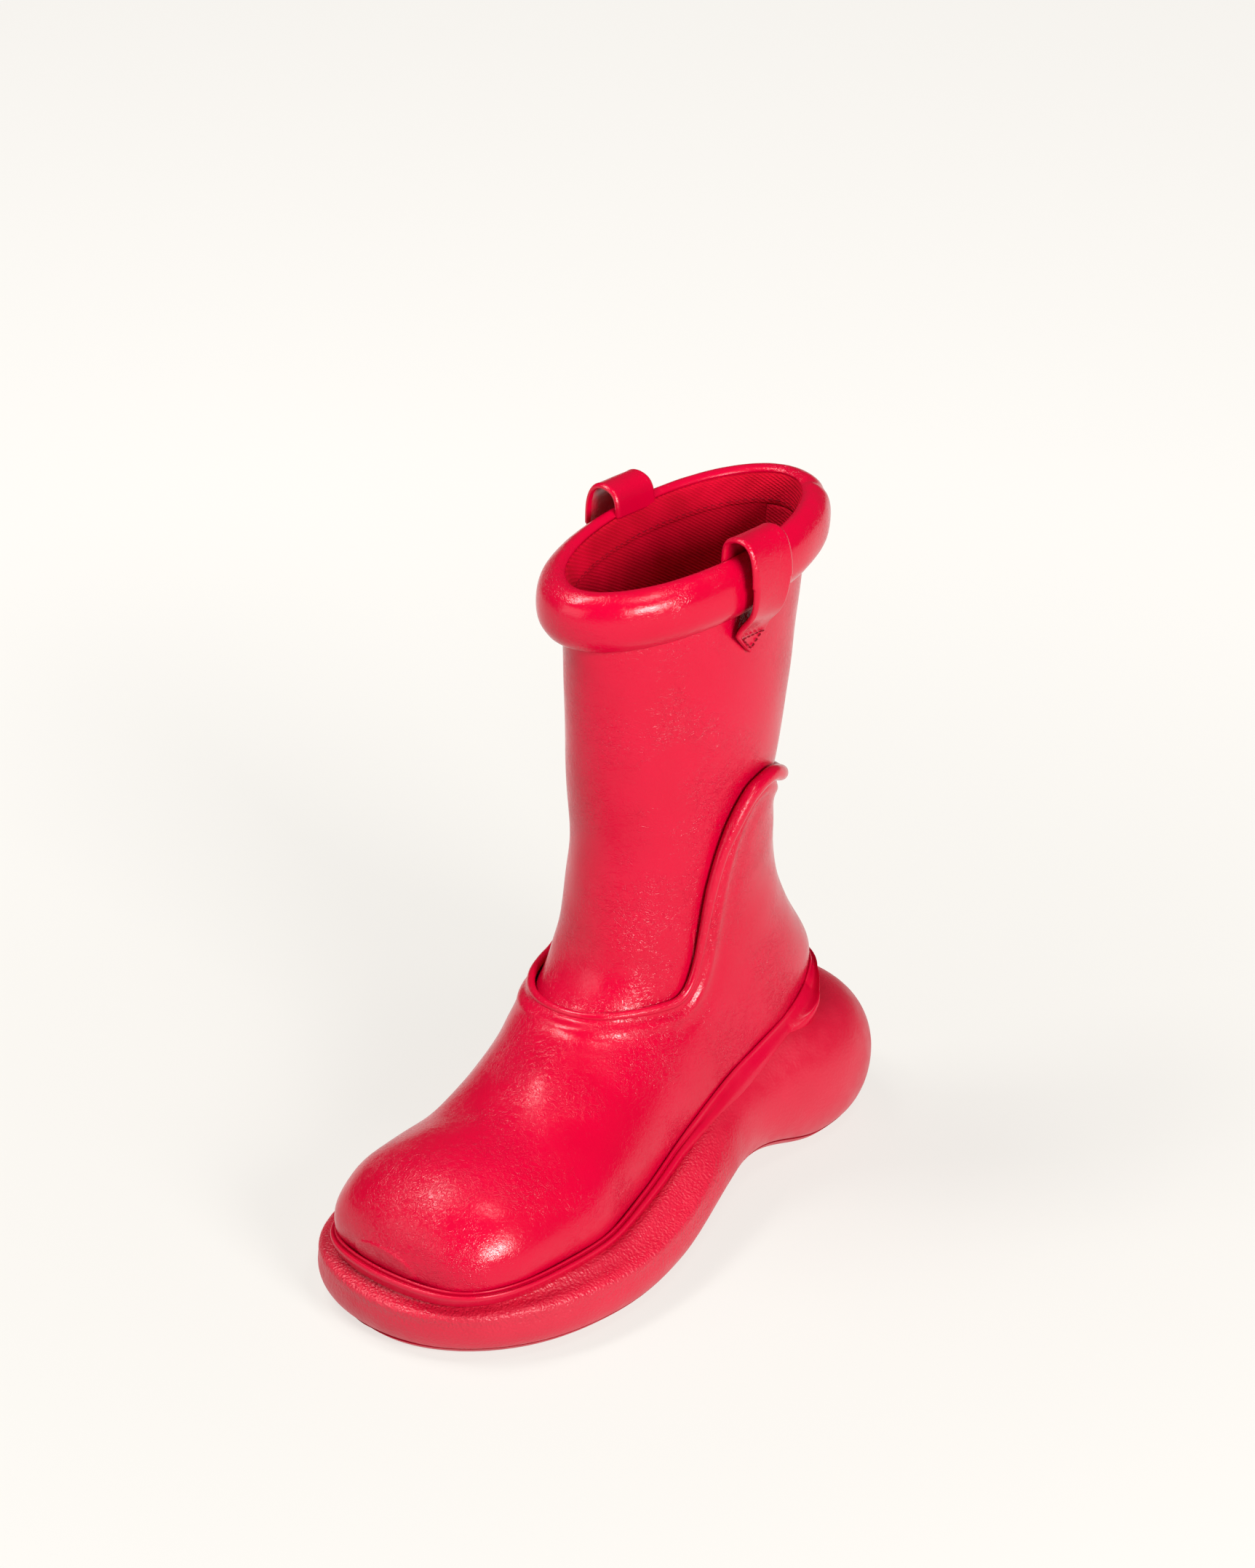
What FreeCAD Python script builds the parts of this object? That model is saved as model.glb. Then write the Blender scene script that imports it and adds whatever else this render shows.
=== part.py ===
import FreeCAD, Part
import math
import os

# Ankle-high pull-on rain boot with a puffed foam sole, one of a pair (right foot).
# Model frame while building: +Z up, toe towards -Y, inner (medial) side towards +X,
# floor at floor_level. Every sub-part is then placed so that the origin is the middle
# of the whole boot's footprint, on the floor.

doc = FreeCAD.newDocument("rain_boot")

# ---------------------------------------------------------------- driving dimensions
DIMENSIONS = [
    ("shaft_wall", 2.2, "coated upper with its backing"),
    ("galosh_wall", 2.9, "foam-backed overshoe layer"),
    ("lining_wall", 1.1, "twill lining"),
    ("facing_wall", 0.9, "folded lining facing"),
    ("layer_gap", 0.3, "room between layers"),
    ("board_rise", 5.0, "height of the insole board's turned edge above the foot bed"),
    ("foam_bed", 2.6, "cushion foam under the sock liner"),
    ("sock_wall", 3.6, "sock liner"),
    ("welt_wall", 4.6, "welt thickness, measured out from the upper"),
    ("outsole_wall", 5.5, "rubber outsole, before its foot is trimmed flat at the floor"),
    ("tread_depth", 2.0, "depth of the tread grooves"),
    ("tread_groove", 3.0, "width of a tread groove"),
    ("tread_pitch", 11.0, "distance between tread grooves"),
    ("roll_radius", 3.7, "stuffed edge roll of the overshoe layer"),
    ("roll_cover", 1.1, "cover of the edge roll"),
    ("collar_depth", 10.7, "half the collar's thickness, measured outwards"),
    ("collar_rise", 13.0, "half the collar's height"),
    ("collar_cover", 1.2, "collar cover"),
    ("collar_level", 281.0, "height of the collar's middle"),
    ("collar_tilt", 5.0, "the collar and the upper edge rise towards the heel, degrees"),
    ("top_rise", 9.5, "the shaft and the lining end this far above the collar's middle"),
    ("overlap", 14.0, "how far the shaft runs down inside the overshoe layer"),
    ("strap_width", 24.0, "pull strap"),
    ("strap_wall", 3.0, "folded thickness of the pull strap"),
    ("strap_medial", 46.0, "place of the inner pull strap along the boot"),
    ("strap_lateral", 52.5, "place of the outer pull strap along the boot"),
    ("shank_width", 13.0, "steel shank"),
    ("shank_wall", 1.4, "steel shank"),
    ("shank_start", -28.0, "front end of the shank"),
    ("shank_end", 62.0, "rear end of the shank"),
    ("thread_radius", 0.45, "sewing thread"),
    ("origin_x", 16.55, "middle of the footprint across the boot"),
    ("origin_y", -10.34, "middle of the footprint along the boot"),
    ("floor_level", 2.0, "floor, in the frame used while building"),
]

sheet = doc.addObject("Spreadsheet::Sheet", "sizes")
for number, (alias, value, note) in enumerate(DIMENSIONS, start=1):
    sheet.set("A%d" % number, note)
    sheet.set("B%d" % number, str(value))
    sheet.setAlias("B%d" % number, alias)
doc.recompute()
size = {alias: float(sheet.get(alias)) for alias, _value, _note in DIMENSIONS}
GAP = size["layer_gap"]

# ---------------------------------------------------------------- the boot's form
# Each station is one flat section of the upper's outer surface. The sections fan out
# from the toe, round the instep, and up the leg. A section contains the X direction
# and runs from a sole-side point to a top-side point.
#   share, sole y, sole z, top y, top z, half width, place of the widest point,
#   squareness on the sole side, squareness on the top side, middle x
STATIONS = [
    (0.00, -151, 34, -153, 42, 14.0, .40, 2.0, 2.0, 17),
    (0.03, -148, 30, -150, 52, 29.0, .36, 2.5, 2.0, 17),
    (0.08, -138, 28, -142, 61, 39.5, .34, 2.8, 2.0, 18),
    (0.14, -118, 28, -123, 69, 45.5, .32, 3.0, 2.0, 19),
    (0.22, -82, 28, -95, 72, 47.0, .33, 3.2, 2.0, 19),
    (0.30, -45, 30, -68, 78, 45.0, .34, 3.4, 2.0, 13),
    (0.38, 0, 37, -48, 86.5, 42.0, .34, 3.4, 2.1, 5),
    (0.46, 53, 49, -33.5, 93.5, 40.5, .38, 3.0, 2.4, -1),
    (0.53, 99, 57, -23, 102, 39.5, .46, 2.6, 2.5, -3),
    (0.59, 116, 80, -17, 112, 38.0, .50, 2.2, 2.5, -3),
    (0.65, 100.5, 110, -13.5, 125, 36.0, .50, 2.0, 2.3, -2),
    (0.71, 91.5, 134, -12, 140, 35.5, .50, 2.0, 2.1, -2),
    (0.78, 89, 160, -10, 163, 34.8, .50, 2.0, 2.0, -1),
    (0.85, 97.5, 190, -13, 192, 35.5, .50, 2.0, 2.0, -1),
    (0.92, 105.5, 228, -16, 230, 35.2, .50, 2.0, 2.0, 0),
    (1.00, 115, 284, -18.8, 284, 34.2, .50, 2.0, 2.0, 0),
    (1.03, 115, 302, -18.8, 302, 34.2, .50, 2.0, 2.0, 0),
]
TOE_END, LEG_END = STATIONS[0][0], STATIONS[-1][0]
TOE_FADE = 0.20          # share over which a thicker layer also grows forwards at the toe
SECTION_STEPS = 44       # sections along the boot
RING_STEPS = 36          # points round one section

# Sole outline at its widest level, seen from above, inner side first.
OUTLINE = [
    (12, -164), (50, -154), (76, -122), (84, -80), (79, -38), (64, 8),
    (53, 44), (56, 85), (47, 122), (17, 142), (-20, 139), (-45, 114),
    (-50, 75), (-48, 30), (-49, -10), (-50, -60), (-47, -110), (-28, -150),
]
OUTLINE_STEPS = 60
# Along the sole: y, widest level, top level, bottom level, top inset, bottom inset
SOLE = [
    (-164, 16, 30, 1, 14, 15),
    (-80, 16, 30, 1, 14, 15),
    (-38, 19, 34, 4, 14, 14),
    (8, 27, 44, 12.5, 14, 13),
    (44, 30, 54, 10.5, 16, 14),
    (85, 31, 60, 1, 20, 18),
    (141, 31, 60, 1, 24, 19),
]                        # a bottom below the floor is trimmed flat at the floor
# Welt height above the midsole, along the sole: y, height
WELT_RISE = [(-164, 4.5), (-38, 4.5), (50, 6.5), (90, 9.0), (108, 14.0), (125, 18.0)]
RING_INSET = 26          # the puffed rim reaches this far in from the outline

# Upper edge of the overshoe layer, seen from the side: y, z
EDGE = [
    (-60, 98), (5, 98), (12, 102), (17, 111), (21, 125), (26, 145), (32, 162),
    (41, 176.5), (51, 184.5), (62, 186), (75, 181), (88, 173), (102, 168), (130, 168),
]
# The edge roll is slimmer over the instep: height, share of its radius
ROLL_SHARE = [(90, .62), (104, .66), (135, .92), (160, 1.0), (200, 1.0)]
COLLAR_LONG, COLLAR_ACROSS, COLLAR_Y = 67.5, 33.0, 48.0   # collar's middle line
WIDE, LOW, HIGH = 120.0, -30.0, 340.0    # reach of the cutting blocks
LID = 20.0               # a wall's core is cut away this far above its upper end


def blend(rows, at, column):
    """Smooth value of one column of a table, without overshoot between its rows."""
    count = len(rows)
    at = min(max(at, rows[0][0]), rows[-1][0])
    index = max(i for i in range(count - 1) if rows[i][0] <= at or i == 0)

    def slope(i):
        return (rows[i + 1][column] - rows[i][column]) / (rows[i + 1][0] - rows[i][0])

    def tangent(i):
        if i == 0 or i == count - 1:
            return slope(min(i, count - 2))
        before, after = slope(i - 1), slope(i)
        return 0.0 if before * after <= 0 else 2 * before * after / (before + after)

    width = rows[index + 1][0] - rows[index][0]
    s = (at - rows[index][0]) / width
    start, end = rows[index][column], rows[index + 1][column]
    return (start * (1 + 2 * s) * (1 - s) ** 2 + tangent(index) * width * s * (1 - s) ** 2
            + end * s * s * (3 - 2 * s) + tangent(index + 1) * width * s * s * (s - 1))


def rounded(value, squareness):
    return math.copysign(abs(value) ** (2.0 / squareness), value)


def form_point(share, angle, grow):
    """Point of the upper's surface, moved outwards by grow. Angle 0 is the top side."""
    (sole_y, sole_z, top_y, top_z, half, widest,
     square_sole, square_top, middle) = [blend(STATIONS, share, c) for c in range(1, 10)]
    length = math.hypot(top_y - sole_y, top_z - sole_z)
    along_y, along_z = (top_y - sole_y) / length, (top_z - sole_z) / length
    upper_half = math.cos(angle) >= 0
    squareness = square_top if upper_half else square_sole
    reach = (1 - widest if upper_half else widest) * length + grow
    along = widest * length + rounded(math.cos(angle), squareness) * reach
    across = rounded(math.sin(angle), squareness) * (half + grow)
    forwards = grow * max(0.0, 1 - share / TOE_FADE) ** 2
    return FreeCAD.Vector(middle + across, sole_y + along_y * along - forwards,
                          sole_z + along_z * along)


def closed_curve(points):
    """Closed spline whose knots are evenly numbered, so that lofted sections match."""
    curve = Part.BSplineCurve()
    numbers = [float(k) for k in range(len(points) + 1)]
    curve.interpolate(Points=points, PeriodicFlag=True, Parameters=numbers)
    return curve


def form_solid(grow, start=TOE_END, end=LEG_END):
    """The upper's whole form as one solid, grown or shrunk evenly. Its seam is underneath."""
    rows = []
    for step in range(SECTION_STEPS + 1):
        share = start + (end - start) * step / SECTION_STEPS
        rows.append([form_point(share, math.pi + 2 * math.pi * k / RING_STEPS, grow)
                     for k in range(RING_STEPS + 1)])
        rows[-1][-1] = rows[-1][0]
    surface = Part.BSplineSurface()
    surface.interpolate(rows)
    first_u, last_u = surface.bounds()[:2]
    ends = [Part.Face(Part.Wire(surface.uIso(u).toShape())) for u in (first_u, last_u)]
    shell = Part.makeShell([surface.toShape()] + ends)
    shell.sewShape()
    solid = Part.makeSolid(shell)
    return solid if solid.Volume > 0 else solid.reversed()


def layer(inner, outer):
    """A wall that follows the form. Its upper end is open."""
    core = form_solid(inner, end=LEG_END)
    top = Part.Face([w for w in core.Wires if w.BoundBox.ZMin > size["collar_level"]][0])
    return form_solid(outer).cut([core, top.extrude(FreeCAD.Vector(0, 0, LID))])


def line_through(points):
    if len(points) == 2:
        return Part.LineSegment(*points).toShape()
    curve = Part.BSplineCurve()
    curve.interpolate(points)
    return curve.toShape()


def side_block(lower, upper):
    """Block between two lines seen from the side. A line is a list of (y, z) points."""
    foot = [FreeCAD.Vector(-WIDE, y, z) for y, z in lower]
    head = [FreeCAD.Vector(-WIDE, y, z) for y, z in upper]
    edges = [line_through(foot), line_through([foot[-1], head[-1]]),
             line_through(head), line_through([head[0], foot[0]])]
    face = Part.Face(Part.Wire(Part.__sortEdges__(edges)))
    return face.extrude(FreeCAD.Vector(2 * WIDE, 0, 0))


def sampled(function, start=-190.0, end=170.0, step=6.0):
    count = int(round((end - start) / step))
    return [(start + step * k, function(start + step * k)) for k in range(count + 1)]


def bed(y):
    """Level of the foot bed, which is the upper's sole side."""
    rows = [(row[1], row[2]) for row in STATIONS if 0.03 <= row[0] <= 0.53]
    return blend(rows, y, 1)


def edge(y):
    return blend(EDGE, y, 1)


def top_line(y):
    """Upper edge of the shaft and the lining, inside the collar."""
    rise = math.tan(math.radians(size["collar_tilt"])) * (y - COLLAR_Y)
    return size["collar_level"] + size["top_rise"] + rise


def share_at(angle, level, grow, low=0.30, high=1.03):
    """Share at which the form's line at one angle climbs to level(y)."""
    for _halving in range(30):
        middle = (low + high) / 2
        point = form_point(middle, angle, grow)
        if point.z < level(point.y):
            low = middle
        else:
            high = middle
    return high


def below(function, drop=0.0):
    line = sampled(lambda y: function(y) - drop)
    return side_block([(line[0][0], LOW), (line[-1][0], LOW)], line)


def above(function, lift=0.0):
    line = sampled(lambda y: function(y) + lift)
    return side_block(line, [(line[0][0], HIGH), (line[-1][0], HIGH)])


def box(x0, x1, y0, y1, z0, z1):
    return Part.makeBox(x1 - x0, y1 - y0, z1 - z0, FreeCAD.Vector(x0, y0, z0))


def ring_solid(frames, section):
    """Closed tube: section(frame) gives the (outwards, up) points of one round."""
    wires = []
    for frame in frames:
        points = [frame["place"] + frame["outwards"] * a + frame["up"] * b
                  for a, b in section(frame)]
        wires.append(Part.Wire(closed_curve(points).toShape()))
    return Part.makeLoft(wires, True, False, True)


def frames_along(points):
    """Section frames for a closed path: outwards is level, up completes the frame."""
    frames = []
    centre = sum(points, FreeCAD.Vector()) * (1.0 / len(points))
    for k, place in enumerate(points):
        ahead = points[(k + 1) % len(points)] - points[k - 1]
        outwards = ahead.cross(FreeCAD.Vector(0, 0, 1)).normalize()
        if outwards.dot(place - centre) < 0:
            outwards = outwards * -1
        up = outwards.cross(ahead).normalize()
        if up.z < 0:
            up = up * -1
        frames.append({"place": place, "outwards": outwards, "up": up})
    return frames


def oval(half_out, half_up, steps=20):
    turns = [2 * math.pi * k / steps for k in range(steps)]
    return lambda frame: [(half_out * math.cos(a), half_up * math.sin(a)) for a in turns]


def feature(label, shape):
    """A free-form sub-part: its shape, then its placement in the boot's own frame."""
    item = doc.addObject("Part::Feature", label)
    item.Label = label
    solids = [s if s.Volume > 0 else s.reversed() for s in shape.Solids]
    item.Shape = solids[0] if len(solids) == 1 else Part.Compound(solids)
    parts.append(item)
    return item


parts = []

# ---------------------------------------------------------------- layers of the upper
wall = layer(-size["shaft_wall"], 0.0)
skin_inner, skin_outer = GAP, GAP + size["galosh_wall"]
skin = layer(skin_inner, skin_outer)
lining_outer = -size["shaft_wall"] - GAP
lining_inner = lining_outer - size["lining_wall"]
facing_outer = lining_inner - 0.2
facing_inner = facing_outer - size["facing_wall"]
facing = layer(facing_inner, facing_outer)

TOE_PUFF_END = -104.0
COUNTER_START, COUNTER_TOP = 60.0, 92.0
board_top = below(bed, -size["board_rise"])
over_board = above(bed, size["board_rise"] + GAP)
below_edge = below(edge, size["overlap"] + GAP)
in_toe = box(-WIDE, WIDE, -200, TOE_PUFF_END, LOW, HIGH)
in_heel = box(-WIDE, WIDE, COUNTER_START, 200, LOW, COUNTER_TOP)
under_top = below(top_line)

feature("insole_board", wall.common(board_top))
feature("toe_puff", wall.common(over_board).common(in_toe))
feature("heel_counter", wall.common(over_board).common(in_heel))
foam_cut = [box(-WIDE, WIDE, -200, TOE_PUFF_END + GAP, LOW, HIGH),
            box(-WIDE, WIDE, COUNTER_START - GAP, 200, LOW, COUNTER_TOP + GAP)]
feature("vamp_interlining", wall.common(over_board).common(below_edge).cut(foam_cut))
feature("shaft_shell", wall.common(above(edge, -size["overlap"])).common(under_top))
feature("lining", layer(lining_inner, lining_outer).common(under_top))

# Folded facing round the top of the lining, and the strip that covers its back seam
FACING_DROP, STRIP_HALF, STRIP_FOOT = 13.0, 8.0, 82.0
feature("lining_top_facing", facing.common(under_top).common(above(top_line, -FACING_DROP)))
strip_block = box(-STRIP_HALF - 1, STRIP_HALF - 1, 60, 200, STRIP_FOOT, HIGH)
feature("lining_back_strip", facing.common(strip_block)
        .common(below(top_line, FACING_DROP + GAP)))

# ---------------------------------------------------------------- foot bed
bed_form = form_solid(lining_inner - 0.2)
foam_level = -lining_inner + size["foam_bed"]
sock_level = foam_level + size["sock_wall"]
feature("footbed_foam", bed_form.common(below(bed, -foam_level)))
feature("sock_liner", bed_form.common(above(bed, foam_level + 0.2))
        .common(below(bed, -sock_level)))

# ---------------------------------------------------------------- overshoe layer
FILLER_SHARE = 0.62      # the lasting margin leaves this share of the bottom open


def bottom_opening(slack):
    """Upright block over the open middle of the bottom."""
    rows = [row for row in STATIONS if 0.08 <= row[0] <= 0.53]
    reach = FILLER_SHARE
    inner = [(row[9] + row[5] * reach - slack, row[1]) for row in rows]
    outer = [(row[9] - row[5] * reach + slack, row[1]) for row in rows[::-1]]
    points = [FreeCAD.Vector(x, y, LOW) for x, y in inner + outer]
    face = Part.Face(Part.Wire(closed_curve(points).toShape()))
    return face.extrude(FreeCAD.Vector(0, 0, 140))


low_skin = below(bed, -size["board_rise"])
edge_points = []
for k in range(48):
    angle = 2 * math.pi * k / 48
    share = share_at(angle, edge, GAP + size["roll_radius"])
    level = form_point(share, angle, GAP).z
    radius = size["roll_radius"] * blend(ROLL_SHARE, level, 1)
    edge_points.append(form_point(share, angle, GAP + radius))
edge_frames = frames_along(edge_points)


def roll(grow):
    """The edge roll, grown or shrunk evenly."""
    def section(frame):
        radius = size["roll_radius"] * blend(ROLL_SHARE, frame["place"].z, 1) + grow
        return oval(radius, radius)(frame)
    return ring_solid(edge_frames, section)


galosh = skin.common(below(edge, 0.0)).cut(roll(0.15))
galosh = galosh.cut(bottom_opening(0.0).common(low_skin))
feature("galosh_shell", max(galosh.Solids, key=lambda s: s.Volume))
feature("galosh_edge_roll", roll(0.0).cut(roll(-size["roll_cover"])))
feature("edge_roll_cord", roll(-size["roll_cover"] - 0.1))
feature("bottom_filler", skin.common(low_skin).common(bottom_opening(GAP)))

# ---------------------------------------------------------------- sole unit
outline_curve = closed_curve([FreeCAD.Vector(x, y, 0) for x, y in OUTLINE])
first, last = outline_curve.FirstParameter, outline_curve.LastParameter
outline_points = [outline_curve.value(first + (last - first) * k / OUTLINE_STEPS)
                  for k in range(OUTLINE_STEPS)]
SOLE_TURNS = 24          # points round the rim's section
INNER_SQUARENESS = 4.0   # the buried side of the rim is nearly rectangular


def sole_section(frame):
    """Rim of the sole: puffed on the outside, nearly square on the buried side."""
    middle, top, bottom, top_inset, bottom_inset = [blend(SOLE, frame["place"].y, c)
                                                    for c in range(1, 6)]
    points = []
    for k in range(SOLE_TURNS):
        turn = 2 * math.pi * k / SOLE_TURNS
        inset = top_inset if math.sin(turn) >= 0 else bottom_inset
        height = top - middle if math.sin(turn) >= 0 else middle - bottom
        if math.cos(turn) >= 0:
            points.append((inset * (math.cos(turn) - 1), middle + height * math.sin(turn)))
        else:
            reach = RING_INSET - inset
            points.append((rounded(math.cos(turn), INNER_SQUARENESS) * reach - inset,
                           middle + height * rounded(math.sin(turn), INNER_SQUARENESS)))
    return points


def sole_level(column):
    return lambda y: blend(SOLE, y, column)


outline_frames = frames_along(outline_points)
for frame in outline_frames:
    frame["up"] = FreeCAD.Vector(0, 0, 1)
rim = ring_solid(outline_frames, sole_section)
inset_points = [f["place"] + f["outwards"] * (6.0 - RING_INSET) for f in outline_frames]
inset_face = Part.Face(Part.Wire(closed_curve(inset_points).toShape()))
core_block = inset_face.extrude(FreeCAD.Vector(0, 0, 120))
core = core_block.common(side_block(sampled(sole_level(3)), sampled(sole_level(2))))
under_floor = box(-WIDE, WIDE, -200, 200, LOW, size["floor_level"])
sole_unit = rim.fuse(core).removeSplitter().cut(under_floor)


def shank_line(lift):
    """The shank follows the waist of the bed. Points (y, z) of one of its faces."""
    start, end = size["shank_start"], size["shank_end"]
    places = [start + (end - start) * k / 6 for k in range(7)]
    drop = skin_outer + GAP + 0.6
    return [(y, bed(y) - drop + lift) for y in places]


pocket_grow = 0.3
pocket = side_block(shank_line(-size["shank_wall"] - pocket_grow), shank_line(6.0))
pocket_half = size["shank_width"] / 2 + pocket_grow
pocket = pocket.common(box(-pocket_half + 3, pocket_half + 3, size["shank_start"] - 1,
                           size["shank_end"] + 1, LOW, HIGH))

part_line = size["outsole_wall"]
upper_space = form_solid(skin_outer + GAP)
midsole = sole_unit.common(above(sole_level(3), part_line + 0.15)).cut([upper_space, pocket])
feature("midsole", max(midsole.Solids, key=lambda s: s.Volume))

TREAD_INSET = 18.0       # the grooves stop this far in from the outline
groove_block = Part.Face(Part.Wire(closed_curve(
    [f["place"] - f["outwards"] * TREAD_INSET for f in outline_frames]).toShape()))
groove_block = groove_block.extrude(
    FreeCAD.Vector(0, 0, size["floor_level"] + size["tread_depth"]))
grooves = []
for start, end in ((-142.0, -56.0), (80.0, 126.0)):
    count = int((end - start) // size["tread_pitch"]) + 1
    for k in range(count):
        y = start + k * size["tread_pitch"]
        grooves.append(box(-WIDE, WIDE, y, y + size["tread_groove"], LOW, HIGH)
                       .common(groove_block))
outsole = sole_unit.common(below(sole_level(3), -part_line)).cut(grooves)
feature("outsole", outsole)

welt = layer(skin_outer + GAP, skin_outer + GAP + size["welt_wall"])
welt = welt.common(above(sole_level(2), 0.2)).common(
    below(lambda y: blend(SOLE, y, 2) + blend(WELT_RISE, y, 1)))
feature("welt", welt)

# ---------------------------------------------------------------- collar
COLLAR_TILT = math.radians(size["collar_tilt"])
collar_points = []
for k in range(40):
    angle = 2 * math.pi * k / 40
    across, along = COLLAR_ACROSS * math.cos(angle), COLLAR_LONG * math.sin(angle)
    collar_points.append(FreeCAD.Vector(across, COLLAR_Y + along * math.cos(COLLAR_TILT),
                                        size["collar_level"] + along * math.sin(COLLAR_TILT)))
collar_frames = frames_along(collar_points)
shaft_space = form_solid(GAP)


def collar(shrink):
    return ring_solid(collar_frames, oval(size["collar_depth"] - shrink,
                                         size["collar_rise"] - shrink))


cover = collar(0.0).cut([collar(size["collar_cover"]), shaft_space])
feature("collar_cover", max(cover.Solids, key=lambda s: s.Volume))
feature("collar_foam", collar(size["collar_cover"] + 0.1).cut(shaft_space))

# ---------------------------------------------------------------- pull straps
# Middle line of a strap, seen from the toe: (x, z), from inside the collar, over it and
# down to the tip on the shaft.
STRAP_LINE = [(32.1, 293.0), (33.2, 298.6), (37.2, 302.0), (42.6, 302.3), (46.9, 298.7),
              (49.2, 290.0), (49.0, 279.5), (46.0, 270.0), (40.5, 262.5), (37.6, 255.0),
              (37.5, 246.0)]
STRAP_PLACE = {1: size["strap_medial"], -1: size["strap_lateral"]}
TIP_START = 264.0        # below this level the strap narrows to its tip
LOWER_END = 6            # from this point of the line on, the level falls steadily


def strap_sides(side):
    """The strap's face towards the collar and its outer face, as point lists."""
    half = size["strap_wall"] / 2
    faces = ([], [])
    for k, (x, z) in enumerate(STRAP_LINE):
        before, after = STRAP_LINE[max(k - 1, 0)], STRAP_LINE[min(k + 1, len(STRAP_LINE) - 1)]
        run_x, run_z = after[0] - before[0], after[1] - before[1]
        length = math.hypot(run_x, run_z)
        for face, sign in zip(faces, (1, -1)):
            face.append(FreeCAD.Vector(side * (x + sign * half * run_z / length),
                                       z - sign * half * run_x / length, 0))
    return faces


def origin_plane(body, role):
    return [f for f in body.Origin.OriginFeatures if f.Role == role][0]


def strap_body(label, side):
    body = doc.addObject("PartDesign::Body", label)
    body.Label = label
    profile = body.newObject("Sketcher::SketchObject", label + "_profile")
    profile.AttachmentSupport = [(origin_plane(body, "XZ_Plane"), "")]
    profile.MapMode = "FlatFace"
    inner_face, outer_face = strap_sides(side)
    for points in (inner_face, outer_face):
        curve = Part.BSplineCurve()
        curve.interpolate(points)
        profile.addGeometry(curve, False)
    profile.addGeometry(Part.LineSegment(outer_face[0], inner_face[0]), False)
    profile.addGeometry(Part.LineSegment(outer_face[-1], inner_face[-1]), False)
    pad = body.newObject("PartDesign::Pad", label + "_strap")
    pad.Profile = profile
    pad.Midplane = True
    pad.setExpression("Length", "sizes.strap_width")
    doc.recompute()

    # two corners are trimmed off so that the lower end tapers to a tip
    taper = body.newObject("Sketcher::SketchObject", label + "_taper")
    taper.AttachmentSupport = [(origin_plane(body, "YZ_Plane"), "")]
    taper.MapMode = "FlatFace"
    half, tip_half, foot = size["strap_width"] / 2, 2.0, STRAP_LINE[-1][1]
    for sign in (1, -1):
        corners = [FreeCAD.Vector(sign * (half + 1), TIP_START, 0),
                   FreeCAD.Vector(sign * half, TIP_START, 0),
                   FreeCAD.Vector(sign * tip_half, foot - 1, 0),
                   FreeCAD.Vector(sign * (half + 1), foot - 1, 0)]
        for k in range(4):
            taper.addGeometry(Part.LineSegment(corners[k], corners[(k + 1) % 4]), False)
    cut = body.newObject("PartDesign::Pocket", label + "_tip")
    cut.Profile = taper
    cut.Type = "ThroughAll"
    cut.Midplane = True
    doc.recompute()
    body.Placement = FreeCAD.Placement(FreeCAD.Vector(0, STRAP_PLACE[side], 0),
                                       FreeCAD.Rotation())
    parts.append(body)
    return body


strap_body("pull_strap_medial", 1)
strap_body("pull_strap_lateral", -1)

STITCH_TOP, STITCH_FOOT = 259.0, 248.0


def thread(start, end):
    run = end - start
    return Part.makeCylinder(size["thread_radius"], run.Length, start, run)


def thread_x(z):
    """Middle of a thread that lies on the outer face of a strap's lower end."""
    rows = sorted((point.y, point.x) for point in strap_sides(1)[1][LOWER_END:])
    return blend(rows, z, 1) + size["thread_radius"] + 0.1


def stitched_triangle(side):
    corners = [FreeCAD.Vector(side * thread_x(z), STRAP_PLACE[side] + y, z)
               for y, z in ((-7.0, STITCH_TOP), (7.0, STITCH_TOP), (0.0, STITCH_FOOT))]
    return [thread(corners[k], corners[(k + 1) % 3]) for k in range(3)]


triangles = []
for side in (1, -1):
    sides = stitched_triangle(side)
    triangles.append(sides[0].fuse(sides[1:]))
feature("pull_strap_stitching", Part.Compound(triangles))

# Row of thread round the foot of the lining facing
thread_points = []
for k in range(48):
    angle = 2 * math.pi * k / 48
    share = share_at(angle, lambda y: top_line(y) - FACING_DROP + 3.0, facing_inner)
    thread_points.append(form_point(share, angle, facing_inner - size["thread_radius"] - 0.1))
feature("lining_stitching", ring_solid(frames_along(thread_points),
                                      oval(size["thread_radius"], size["thread_radius"], 8)))

# ---------------------------------------------------------------- shank
shank = doc.addObject("PartDesign::Body", "shank")
shank.Label = "shank"
shank_profile = shank.newObject("Sketcher::SketchObject", "shank_profile")
shank_profile.AttachmentSupport = [(origin_plane(shank, "YZ_Plane"), "")]
shank_profile.MapMode = "FlatFace"
head_line = [FreeCAD.Vector(y, z, 0) for y, z in shank_line(0.0)]
foot_line = [FreeCAD.Vector(y, z, 0) for y, z in shank_line(-size["shank_wall"])]
for points in (head_line, foot_line):
    curve = Part.BSplineCurve()
    curve.interpolate(points)
    shank_profile.addGeometry(curve, False)
shank_profile.addGeometry(Part.LineSegment(head_line[0], foot_line[0]), False)
shank_profile.addGeometry(Part.LineSegment(head_line[-1], foot_line[-1]), False)
shank_pad = shank.newObject("PartDesign::Pad", "shank_strip")
shank_pad.Profile = shank_profile
shank_pad.Midplane = True
shank_pad.setExpression("Length", "sizes.shank_width")
doc.recompute()
shank.Placement = FreeCAD.Placement(FreeCAD.Vector(3, 0, 0), FreeCAD.Rotation())
parts.append(shank)

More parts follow.
